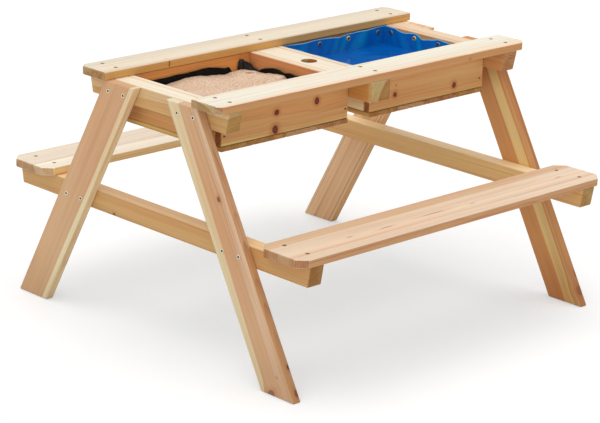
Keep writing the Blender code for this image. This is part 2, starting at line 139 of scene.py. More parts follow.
def span(start: float, end: float, low: float = 0.0, high: float | Source = 1.0) -> dict:
    """The stretch of values over which a layer comes in or goes out.

    Args:
        start: the value at which the change starts.
        end: the value at which it is complete.
        low: the layer's level before the change.
        high: its level after it.

    Returns:
        The four, under the names of a Map Range node's inputs.
    """
    return {"From Min": start, "From Max": end, "To Min": low, "To Max": high}


def set_ramp(node: bpy.types.Node, stops: Points) -> None:
    """Give a colour ramp its grey stops.

    Args:
        node: the ramp.
        stops: each stop's position and grey level, from left to right.
    """
    ramp = node.color_ramp
    while len(ramp.elements) < len(stops):
        ramp.elements.new(0.5)
    for element, (position, level) in zip(ramp.elements, stops):
        element.position = position
        element.color = (level, level, level, 1.0)


def finish_piece(name: str, bm: bmesh.types.BMesh, materials: tuple[Material, ...],
                 crease_deg: float | None = CREASE_DEG) -> bpy.types.Object:
    """Turn a bmesh's faces outwards and make it a piece that rides on the table.

    Args:
        name: the piece's name.
        bm: the mesh, in the table's coordinates; it is freed.
        materials: what the piece is made of, in the order of its faces' numbers.
        crease_deg: the angle past which an edge stays sharp, or None where none does.

    Returns:
        The new piece.
    """
    mesh = bpy.data.meshes.new(name)
    bmesh.ops.recalc_face_normals(bm, faces=bm.faces)
    bm.to_mesh(mesh)
    bm.free()
    for material in materials:
        mesh.materials.append(material)
    mesh.shade_smooth()
    if crease_deg is not None:
        mesh.set_sharp_from_angle(angle=math.radians(crease_deg))
    piece = bpy.data.objects.new(name, mesh)
    bpy.context.scene.collection.objects.link(piece)
    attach(piece, BODY)
    return piece


# Timber


class Run(Enum):
    """How a board lies: the way of its grain, then of its width, then of its thickness."""

    ALONG_FLAT = ((1, 0, 0), (0, 1, 0), (0, 0, 1))
    ALONG_UPRIGHT = ((1, 0, 0), (0, 0, 1), (0, -1, 0))
    ACROSS_FLAT = ((0, 1, 0), (1, 0, 0), (0, 0, -1))
    ACROSS_UPRIGHT = ((0, 1, 0), (0, 0, 1), (1, 0, 0))
    LEG_FRONT = ((0, -0.4853, -0.8743), (0, 0.8743, -0.4853), (1, 0, 0))
    LEG_REAR = ((0, 0.4853, -0.8743), (0, 0.8743, 0.4853), (1, 0, 0))

    def matrix(self) -> Matrix:
        """The turn from the table's axes to the board's."""
        return Matrix(self.value)


class KnotSide(Enum):
    """The faces that a knot shows on: through both broad faces, or in an edge, where it ends in the board."""

    BROAD = (1, 1, 0)
    EDGE = (1, 1, 1)


@dataclass(frozen=True)
class Knot:
    """The root of a branch, cut through by the board's faces.

    Attributes:
        at_mm: its middle along the grain, across the board and through it, from the board's middle.
        size_mm: half its length along the grain and half its width.
        side: the faces that it shows on.
        dark: how dark it is, from 0 to 1.
    """

    at_mm: Triple
    size_mm: Pair = (9.0, 8.0)
    side: KnotSide = KnotSide.BROAD
    dark: float = 1.0


@dataclass(frozen=True)
class Timber:
    """Planed and oiled softwood, whose warm heart and pale sap show as bands along the grain.

    Attributes:
        heart: colour of the heartwood.
        sap: colour of the sapwood.
        late: what the summer lines multiply the colour by.
        late_strength: how strongly those lines show.
        ring_mm: distance between two summer lines.
        edge_shading: painted shade and light, which the sawn edges multiply the colour by.
        face_shading: painted shade and light, which the broad faces multiply the colour by.
        top: painted light, the paler colour of the edge that looks up to the light.
        lit_top_share: how far that edge takes this painted light.
        dark_lines: how strongly the dense, narrow lines show.
        end_gain: what the end grain multiplies the colour by.
        end_patch: what the heart's end grain multiplies the colour by, besides.
        streak: how much the tone changes between streaks.
        flush: how strongly the rosy patches show.
        roughness: the shader's roughness where the fibres are closed.
        foot_shade: how much painted shade darkens the lower end, near the ground.
    """

    heart: str
    sap: str
    late: str = "C88E66"
    late_strength: float = 0.55
    ring_mm: float = 3.4
    edge_shading: Triple = (1.0, 1.0, 1.0)
    face_shading: Triple = (1.0, 1.0, 1.0)
    top: str = "F0DCC0"
    lit_top_share: float = 0.0
    dark_lines: float = 0.35
    end_gain: Triple = (0.62, 0.53, 0.46)
    end_patch: Triple = (0.88, 0.80, 0.72)
    streak: float = 0.30
    flush: float = 0.75
    roughness: float = 0.55
    foot_shade: float = 0.0


@dataclass(frozen=True)
class Board:
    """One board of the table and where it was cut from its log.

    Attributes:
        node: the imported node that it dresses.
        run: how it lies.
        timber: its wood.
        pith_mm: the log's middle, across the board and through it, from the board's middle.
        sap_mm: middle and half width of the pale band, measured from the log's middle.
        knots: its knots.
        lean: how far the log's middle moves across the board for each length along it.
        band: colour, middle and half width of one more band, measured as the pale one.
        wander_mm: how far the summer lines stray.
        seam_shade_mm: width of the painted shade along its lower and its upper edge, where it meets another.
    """

    node: str
    run: Run
    timber: Timber
    pith_mm: Pair = (-140.0, 60.0)
    sap_mm: Pair = (900.0, 1.0)
    knots: tuple[Knot, ...] = ()
    lean: float = 0.0
    band: tuple[str, float, float] = ("FFFFFF", 900.0, 1.0)
    wander_mm: float = 5.0
    seam_shade_mm: Pair = (0.0, 0.0)


class TimberGrain:
    """Shades softwood as a log: rings about a pith, streaks and fibres along the grain.

    The group works in the board's own axes: X along the grain, Y across the board, Z through it. A cell's
    three sizes are along those axes, and a span is where a layer starts to show and where it is full.
    """

    FIBRE_MM = (60.0, 1.3, 1.3)
    STREAK_MM = (620.0, 11.0, 11.0)
    PATCH_MM = (500.0, 46.0, 46.0)
    DENSE_MM = (900.0, 5.5, 5.5)
    END_MM = (80.0, 26.0, 26.0)
    WANDER_MM = (300.0, 60.0, 60.0)
    GROWTH_MM = 16.0
    SAP_EDGE_MM = 3.0
    KNOT_EDGE_MM = 7.14
    # Where the painted shade near the ground starts and where it is full, from a leg's middle towards its
    # foot
    FOOT_SHADE_MM = (150.0, 310.0)
    # A year's growth, from pale spring wood to the dark summer line, and how unlike the years are
    YEAR_STOPS = ((0.0, 0.0), (0.35, 0.04), (0.78, 0.62), (0.90, 1.0), (1.0, 0.0))
    STRAY_YEARS = 2.2
    FAINTEST_YEAR = 0.3
    DENSE_SPAN = (0.60, 0.70)
    FLUSH_SPAN = (0.45, 0.72)
    END_PATCH_SPAN = (0.44, 0.56, 0.35)
    # How far a surface has to face a way to count as the board's broad face, its end or its edge
    FACE_SPAN = (0.45, 0.95)
    END_SPAN = (0.45, 0.8)
    EDGE_SPAN = (0.35, 0.75)
    # How much painted edge shade the upper arris, which faces the light, and a clipped corner lose
    ARRIS_LOSS = 0.45
    CLIP_LOSS = 0.65
    FIBRE_TONE = 0.22
    FIBRE_RELIEF = 0.5
    # Distances from a knot's middle are in knot sizes
    KNOT_EDGE_RELIEF = 0.5
    KNOT_PUSH = 0.8
    KNOT_PUSH_FADE = 0.16
    KNOT_HALO_SPAN = (1.1, 2.6, 0.45)
    KNOT_HEART_SPAN = (0.95, 1.3, 0.98)
    SEAM_SHADE_STRENGTH = 0.9
    # The group's sockets, by kind
    INPUTS = {
        "Vector": ("Place", "Facing", "Shift", "Pith", "Lean", "Edge Shading", "Face Shading", "End Gain",
                   "End Patch"),
        "Color": ("Heart", "Sap", "Late", "Top", "Band"),
        "Float": ("Ring Width", "Wander", "Sap Middle", "Sap Half", "Band Middle", "Band Half",
                  "Late Strength", "Dark Lines", "Lit Top Share", "Streak", "Flush", "Foot Shade"),
    }
    OUTPUTS = {"Color": ("Colour",), "Float": ("Lines", "Open Grain")}

    def __init__(self) -> None:
        """Build the group."""
        self.tree = bpy.data.node_groups.new("planed_softwood", "ShaderNodeTree")
        for way, sockets in (("INPUT", self.INPUTS), ("OUTPUT", self.OUTPUTS)):
            for kind, names in sockets.items():
                for name in names:
                    self.tree.interface.new_socket(name, in_out=way, socket_type=f"NodeSocket{kind}")
        self.given = add_node(self.tree, "NodeGroupInput").outputs
        self._link()

    def _noise(self, cell_mm: Triple, detail: float) -> Source:
        """Noise whose cells have a real length, width and depth.

        Args:
            cell_mm: the size of a cell in the board's axes.
            detail: how many finer layers lie on it.

        Returns:
            Its level, from 0 to 1.
        """
        shifted = add_node(self.tree, "VectorMath", {0: self.given["Place"], 1: self.given["Shift"]},
                           operation="ADD")
        cells = tuple(1 / (size * MM) for size in cell_mm)
        scaled = add_node(self.tree, "VectorMath", {0: shifted, 1: cells}, operation="MULTIPLY")
        return add_node(self.tree, "TexNoise", {"Vector": scaled, "Scale": 1.0, "Detail": detail})

    def _radius(self) -> Source:
        """How far from the log's middle the wood grew.

        Returns:
            The distance in metres, which strays a little along the grain.
        """
        tree = self.tree
        apart = add_node(tree, "VectorMath", {0: self.given["Place"], 1: self.given["Pith"]},
                         operation="SUBTRACT")
        along = add_node(tree, "SeparateXYZ", {0: self.given["Place"]}).outputs["X"]
        leant = add_node(tree, "VectorMath", {0: self.given["Lean"], "Scale": along}, operation="SCALE")
        apart = add_node(tree, "VectorMath", {0: apart, 1: leant}, operation="SUBTRACT")
        flat = add_node(tree, "VectorMath", {0: apart, 1: (0, 1, 1)}, operation="MULTIPLY")
        reach = add_node(tree, "VectorMath", {0: flat}, operation="LENGTH")
        stray = add_node(tree, "Math", {0: self._noise(self.WANDER_MM, 2.0), 1: 0.5}, operation="SUBTRACT")
        return add_node(tree, "Math", {0: stray, 1: self.given["Wander"], 2: reach.outputs["Value"]},
                        operation="MULTIPLY_ADD")

    def _summer_lines(self, radius: Source) -> Source:
        """The darker line that ends each year's growth, unlike from year to year.

        Args:
            radius: distance from the log's middle.

        Returns:
            How dark the line is, from 0 to 1.
        """
        tree = self.tree
        growth = add_node(tree, "TexNoise", {"W": radius, "Scale": 1 / (self.GROWTH_MM * MM), "Detail": 1.0},
                          noise_dimensions="1D")
        years = add_node(tree, "Math", {0: radius, 1: self.given["Ring Width"]}, operation="DIVIDE")
        years = add_node(tree, "Math", {0: growth, 1: self.STRAY_YEARS, 2: years}, operation="MULTIPLY_ADD")
        part = add_node(tree, "Math", {0: years}, operation="FRACT")
        year = add_node(tree, "Math", {0: years}, operation="FLOOR")
        ramp = add_node(tree, "ValToRGB", {"Fac": part})
        set_ramp(ramp, self.YEAR_STOPS)
        chance = add_node(tree, "TexWhiteNoise", {"W": year}, noise_dimensions="1D")
        weight = add_node(tree, "MapRange", {"Value": chance, "To Min": self.FAINTEST_YEAR})
        return add_node(tree, "Math", {0: ramp, 1: weight}, operation="MULTIPLY")

    def _band_share(self, radius: Source, band: str) -> Source:
        """Where a band of another colour runs.

        Args:
            radius: distance from the log's middle.
            band: the name that its inputs start with.

        Returns:
            One inside the band, nought outside it.
        """
        tree = self.tree
        off = add_node(tree, "Math", {0: radius, 1: self.given[f"{band} Middle"]}, operation="SUBTRACT")
        off = add_node(tree, "Math", {0: off}, operation="ABSOLUTE")
        past = add_node(tree, "Math", {0: off, 1: self.given[f"{band} Half"]}, operation="SUBTRACT")
        return add_node(tree, "MapRange", {"Value": past, **span(-self.SAP_EDGE_MM * MM, 0.0, 1.0, 0.0)},
                        **SOFT)

    def _grown(self, radius: Source, lines: Source) -> tuple[Source, Source]:
        """The wood's own colour: heart and sap, summer lines, dense lines and rosy patches.

        Args:
            radius: distance from the log's middle.
            lines: how dark the summer lines are.

        Returns:
            The colour, and one in the sapwood.
        """
        tree, given = self.tree, self.given
        colour = given["Heart"]
        for band in ("Band", "Sap"):
            banded = self._band_share(radius, band)
            colour = add_node(tree, "Mix", {0: banded, 6: colour, 7: given[band]}, **BLEND).outputs[2]
        dense = add_node(tree, "MapRange",
                         {"Value": self._noise(self.DENSE_MM, 1.0), **span(*self.DENSE_SPAN)}, **SOFT)
        dense = add_node(tree, "Math", {0: dense, 1: given["Dark Lines"]}, operation="MULTIPLY")
        share = add_node(tree, "Math", {0: lines, 1: given["Late Strength"], 2: dense},
                         operation="MULTIPLY_ADD", use_clamp=True)
        colour = add_node(tree, "Mix", {0: share, 6: colour, 7: given["Late"]}, **TINT).outputs[2]
        flush = add_node(tree, "MapRange",
                         {"Value": self._noise(self.PATCH_MM, 1.0),
                          **span(*self.FLUSH_SPAN, high=given["Flush"])}, **SOFT)
        colour = add_node(tree, "Mix", {0: flush, 6: colour, 7: linear("FBE9DF")}, **TINT).outputs[2]
        return colour, banded

    def _paint_light_and_marks(self, colour: Source, fibre: Source) -> Source:
        """Paint light on the upper edge and shade on the foot, and add the fibres and the streaks.

        Args:
            colour: the wood's own colour.
            fibre: the level of its fibres.

        Returns:
            The colour with its painted light and its marks, before the sides are shaded.
        """
        tree, given = self.tree, self.given
        # Painted light: the edge that looks up takes the paler top colour
        facing = add_node(tree, "SeparateXYZ", {0: given["Facing"]}).outputs["Y"]
        upper = add_node(tree, "MapRange", {"Value": facing, **span(*self.FACE_SPAN)}, **SOFT)
        upper = add_node(tree, "Math", {0: upper, 1: given["Lit Top Share"]}, operation="MULTIPLY")
        colour = add_node(tree, "Mix", {0: upper, 6: colour, 7: given["Top"]}, **BLEND).outputs[2]
        tone = add_node(tree, "Math", {0: fibre, 1: self.FIBRE_TONE, 2: 1 - self.FIBRE_TONE / 2},
                        operation="MULTIPLY_ADD")
        streak = add_node(tree, "Math", {0: self._noise(self.STREAK_MM, 3.0), 1: 0.5}, operation="SUBTRACT")
        sway = add_node(tree, "Math", {0: streak, 1: given["Streak"], 2: 1.0}, operation="MULTIPLY_ADD")
        tone = add_node(tree, "Math", {0: tone, 1: sway}, operation="MULTIPLY")
        colour = add_node(tree, "VectorMath", {0: colour, "Scale": tone}, operation="SCALE")
        # Painted shade: the lower end of a leg darkens towards the ground
        along = add_node(tree, "SeparateXYZ", {0: given["Place"]}).outputs["X"]
        start, full = (length * MM for length in self.FOOT_SHADE_MM)
        foot_shade = add_node(tree, "MapRange", {"Value": along, **span(start, full, high=given["Foot Shade"])},
                          **SOFT)
        return add_node(tree, "Mix", {0: foot_shade, 6: colour, 7: linear("CEBCA6")}, **TINT).outputs[2]

    def _sided(self, colour: Source) -> tuple[Source, Source]:
        """Paint shade and light on the broad faces and the sawn edges, and tone the ends apart.

        Args:
            colour: the colour so far.

        Returns:
            The toned colour, and one on the end grain.
        """
        tree, given = self.tree, self.given
        raised = add_node(tree, "SeparateXYZ", {0: given["Facing"]}).outputs["Z"]
        sides = add_node(tree, "VectorMath", {0: given["Facing"]}, operation="ABSOLUTE")
        sides = add_node(tree, "SeparateXYZ", {0: sides}).outputs
        end = add_node(tree, "MapRange", {"Value": sides["X"], **span(*self.END_SPAN)}, **SOFT)
        # The upper arris faces the light and gets no painted shade, and a clipped corner is half end grain
        raised = add_node(tree, "Math", {0: raised, 1: 0.0}, operation="MAXIMUM")
        turned = add_node(tree, "Math", {0: raised, 1: -self.ARRIS_LOSS, 2: sides["Y"]},
                          operation="MULTIPLY_ADD")
        edge = add_node(tree, "MapRange", {"Value": turned, **span(*self.EDGE_SPAN)}, **SOFT)
        unclipped = add_node(tree, "Math", {0: end, 1: -self.CLIP_LOSS, 2: 1.0}, operation="MULTIPLY_ADD")
        edge = add_node(tree, "Math", {0: edge, 1: unclipped}, operation="MULTIPLY")
        face = add_node(tree, "MapRange", {"Value": sides["Z"], **span(*self.FACE_SPAN)}, **SOFT)
        # Painted shade and light on the broad faces and the edges; the ends take their own tone
        for share, gain in ((face, "Face Shading"), (edge, "Edge Shading"), (end, "End Gain")):
            colour = add_node(tree, "Mix", {0: share, 6: colour, 7: given[gain]}, **TINT).outputs[2]
        return colour, end

    def _end_grain(self, colour: Source, end: Source, lines: Source, sapwood: Source) -> Source:
        """Draw the rings on the ends, where the heart also drinks more oil than the sapwood.

        Args:
            colour: the colour so far.
            end: one on the end grain.
            lines: how dark the summer lines are.
            sapwood: one in the sapwood.

        Returns:
            The colour with its ends.
        """
        tree = self.tree
        start, full, least = self.END_PATCH_SPAN
        uneven = add_node(tree, "MapRange",
                          {"Value": self._noise(self.END_MM, 1.0), **span(start, full, least)}, **SOFT)
        hearted = add_node(tree, "Math", {0: 1.0, 1: sapwood}, operation="SUBTRACT")
        for share in (hearted, end):
            uneven = add_node(tree, "Math", {0: uneven, 1: share}, operation="MULTIPLY")
        ringed = add_node(tree, "Math", {0: lines, 1: end}, operation="MULTIPLY")
        for share, tint in ((uneven, self.given["End Patch"]), (ringed, linear("B08A6A"))):
            colour = add_node(tree, "Mix", {0: share, 6: colour, 7: tint}, **TINT).outputs[2]
        return colour

    def _link(self) -> None:
        """Join the layers into the group's outputs."""
        radius = self._radius()
        lines = self._summer_lines(radius)
        fibre = self._noise(self.FIBRE_MM, 2.0)
        colour, sapwood = self._grown(radius, lines)
        colour, end = self._sided(self._paint_light_and_marks(colour, fibre))
        colour = self._end_grain(colour, end, lines, sapwood)
        relief = add_node(self.tree, "Math", {0: fibre, 1: self.FIBRE_RELIEF, 2: lines},
                          operation="MULTIPLY_ADD")
        add_node(self.tree, "NodeGroupOutput", {"Colour": colour, "Lines": relief, "Open Grain": end})

    def _swept(self, tree: Tree, place: Source, knot: Knot) -> tuple[Source, Source]:
        """Let the grain flow round a knot.

        Args:
            tree: the board's material tree.
            place: a point in the board's axes.
            knot: the knot.

        Returns:
            The place that the grain is read at, and the distance from the knot in knot sizes.
        """
        middle = tuple(value * MM for value in knot.at_mm)
        along, wide = (1 / (value * MM) for value in knot.size_mm)
        used = knot.side.value
        apart = add_node(tree, "VectorMath", {0: place, 1: middle}, operation="SUBTRACT")
        scaled = add_node(tree, "VectorMath",
                          {0: apart, 1: (along * used[0], wide * used[1], wide * used[2])},
                          operation="MULTIPLY")
        reach = add_node(tree, "VectorMath", {0: scaled}, operation="LENGTH").outputs["Value"]
        uneven = add_node(tree, "TexNoise",
                          {"Vector": place, "Scale": 1 / (self.KNOT_EDGE_MM * MM), "Detail": 2.0})
        reach = add_node(tree, "Math", {0: uneven, 1: self.KNOT_EDGE_RELIEF, 2: reach},
                         operation="MULTIPLY_ADD")
        square = add_node(tree, "Math", {0: reach, 1: reach}, operation="MULTIPLY")
        fade = add_node(tree, "Math", {0: square, 1: -self.KNOT_PUSH_FADE}, operation="MULTIPLY")
        fade = add_node(tree, "Math", {0: fade}, operation="EXPONENT")
        sideways = (0, self.KNOT_PUSH * used[1], self.KNOT_PUSH * used[2])
        push = add_node(tree, "VectorMath", {0: apart, 1: sideways}, operation="MULTIPLY")
        push = add_node(tree, "VectorMath", {0: push, "Scale": fade}, operation="SCALE")
        swept = add_node(tree, "VectorMath", {0: place, 1: push}, operation="SUBTRACT")
        return swept, reach

    def _knotted(self, tree: Tree, colour: Source, knot: Knot, reach: Source) -> Source:
        """Draw a knot: a warm halo, a red rim and a nearly black heart.

        Args:
            tree: the board's material tree.
            colour: the colour so far.
            knot: the knot.
            reach: distance from it, in knot sizes.

        Returns:
            The colour with the knot.
        """
        start, full, strength = self.KNOT_HALO_SPAN
        halo = add_node(tree, "MapRange", {"Value": reach, **span(start, full, strength * knot.dark, 0.0)},
                        **SOFT)
        colour = add_node(tree, "Mix", {0: halo, 6: colour, 7: linear("D8946A")}, **TINT).outputs[2]
        start, full, strength = self.KNOT_HEART_SPAN
        heart = add_node(tree, "MapRange", {"Value": reach, **span(start, full, strength * knot.dark, 0.0)},
                         **SOFT)
        tint = add_node(tree, "Mix", {0: reach, 6: linear("963E16"), 7: linear("541C08")}, **BLEND).outputs[2]
        return add_node(tree, "Mix", {0: heart, 6: colour, 7: tint}, **BLEND).outputs[2]

    def _seam_shade(self, tree: Tree, place: Source, board: Board, colour: Source) -> Source:
        """Paint shade along the edges where a board meets another.

        Args:
            tree: the board's material tree.
            place: a point in the board's axes.
            board: the board.
            colour: its colour so far.

        Returns:
            The colour with its seams.
        """
        low, high = (Vector(corner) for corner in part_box(board.node))
        half = abs((board.run.matrix() @ (high - low)).y) / 2
        across = add_node(tree, "SeparateXYZ", {0: place}).outputs["Y"]
        for seam_shade_width_mm, side in zip(board.seam_shade_mm, (-1, 1)):
            if not seam_shade_width_mm:
                continue
            inner = side * (half - seam_shade_width_mm * MM)
            # Painted shade: dark brown that fades in from the edge
            share = add_node(tree, "MapRange",
                             {"Value": across, **span(side * half, inner, self.SEAM_SHADE_STRENGTH, 0.0)})
            colour = add_node(tree, "Mix", {0: share, 6: colour, 7: linear("54301A")}, **TINT).outputs[2]
        return colour

    def _values(self, board: Board) -> dict[str, float | tuple[float, ...]]:
        """What the group needs to know of a board.

        Args:
            board: the board.

        Returns:
            A value for each of the group's inputs, but for the place and the way a surface faces.
        """
        timber = board.timber
        # Each name gives its board a stretch of grain of its own, metres away from the next
        seed = sum(ord(sign) * (index + 3) for index, sign in enumerate(board.node))
        return {
            "Shift": (seed % 97 * 0.37, seed % 89 * 0.11, seed % 83 * 0.13),
            "Pith": (0, board.pith_mm[0] * MM, board.pith_mm[1] * MM), "Lean": (0, board.lean, 0),
            "Ring Width": timber.ring_mm * MM, "Wander": 2 * board.wander_mm * MM,
            "Sap Middle": board.sap_mm[0] * MM, "Sap Half": board.sap_mm[1] * MM,
            "Heart": linear(timber.heart), "Sap": linear(timber.sap), "Late": linear(timber.late),
            "Late Strength": timber.late_strength, "Streak": timber.streak, "Flush": timber.flush,
            "Edge Shading": timber.edge_shading, "End Gain": timber.end_gain, "Face Shading": timber.face_shading,
            "End Patch": timber.end_patch, "Top": linear(timber.top), "Lit Top Share": timber.lit_top_share,
            "Dark Lines": timber.dark_lines, "Band": linear(board.band[0]),
            "Band Middle": board.band[1] * MM, "Band Half": board.band[2] * MM, "Foot Shade": timber.foot_shade,
        }

    def material(self, board: Board) -> Material:
        """The wood of one board, planed and thinly oiled, so fibres show and the sheen stays low.

        Args:
            board: the board.

        Returns:
            Its material.
        """
        material, tree, shader = new_material(f"{board.node}_softwood")
        low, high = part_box(board.node)
        turn = board.run.matrix()
        middle = turn @ ((Vector(low) + Vector(high)) / 2)
        angles = turn.to_euler("XYZ")
        where = add_node(tree, "TexCoord").outputs
        place = add_node(tree, "Mapping",
                         {"Vector": where["Object"], "Rotation": angles, "Location": -middle},
                         vector_type="POINT")
        facing = add_node(tree, "Mapping", {"Vector": where["Normal"], "Rotation": angles},
                          vector_type="VECTOR")
        grain_place, reaches = place, []
        for knot in board.knots:
            grain_place, reach = self._swept(tree, grain_place, knot)
            reaches.append(reach)
        group = add_node(tree, "Group", node_tree=self.tree)
        feed(group, {**self._values(board), "Place": grain_place, "Facing": facing})
        colour = group.outputs["Colour"]
        for knot, reach in zip(board.knots, reaches):
            colour = self._knotted(tree, colour, knot, reach)
        colour = self._seam_shade(tree, place, board, colour)
        # Open end grain stays duller than planed fibres
        rough = add_node(tree, "Math", {0: group.outputs["Open Grain"], 1: 0.2, 2: board.timber.roughness},
                         operation="MULTIPLY_ADD")
        bump = add_node(tree, "Bump",
                        {"Height": group.outputs["Lines"], "Strength": 0.35, "Distance": 0.2 * MM})
        feed(shader, {"Base Color": colour, "Roughness": rough, "Normal": bump, "Specular IOR Level": 0.35})
        return material


# Pale, nearly white where the light falls on it, with painted shade that makes the sawn edges warm and dark
TOP_TIMBER = Timber(heart="F1E9D7", sap="F0EAD8", late="E6CAA4", late_strength=0.5, ring_mm=2.6,
                    edge_shading=(0.70, 0.41, 0.20), end_gain=(0.62, 0.50, 0.33), end_patch=(0.83, 0.66, 0.46),
                    streak=0.20, flush=0.3, dark_lines=0.30)
# Pinkish boards whose tone changes between broad streaks, with painted shade on the sawn edges
BENCH_TIMBER = Timber(heart="EBD5BB", sap="EED8BE", late="D9A985", late_strength=0.6, ring_mm=2.2,
                      edge_shading=(0.74, 0.50, 0.31), end_gain=(0.68, 0.53, 0.37), end_patch=(0.90, 0.78, 0.70),
                      streak=0.30, dark_lines=0.40)
# Rosy tan heartwood with fine upright lines, with painted shade on the narrow edges and towards the foot
LEG_TIMBER = Timber(heart="D8B086", sap="E4D2A8", late="C99468", late_strength=0.5, ring_mm=2.6,
                    edge_shading=(0.80, 0.68, 0.54), end_gain=(1.08, 1.13, 1.19), end_patch=(1.0, 0.98, 0.95),
                    foot_shade=0.30)
# Brown and straw-coloured, darker than the legs, with painted light on the edge that looks up
RAIL_TIMBER = Timber(heart="D3A96E", sap="E6D3A4", late="B98550", late_strength=0.5, ring_mm=3.0,
                     end_gain=(0.76, 0.72, 0.56), end_patch=(0.86, 0.74, 0.66), streak=0.30, lit_top_share=0.9,
                     dark_lines=0.25)
# The boxes' boards: orange, pink bands, straw-coloured sap along an edge and painted light on the upper edge
BOX_TIMBER = Timber(heart="DAA669", sap="E6CA80", late="C48A5A", late_strength=0.32, ring_mm=5.0,
                    end_gain=(0.56, 0.45, 0.34), end_patch=(0.9, 0.85, 0.8), streak=0.42, lit_top_share=0.9,
                    dark_lines=0.12)
# The boxes' floors, which show as dark end grain, with painted light that lifts their long edges
FLOOR_TIMBER = Timber(heart="D0A06C", sap="CDA880", late="9A6436", late_strength=0.8, ring_mm=3.4,
                      edge_shading=(1.2, 1.2, 1.0), end_gain=(1.04, 0.94, 0.78), end_patch=(0.80, 0.70, 0.62),
                      streak=0.36)

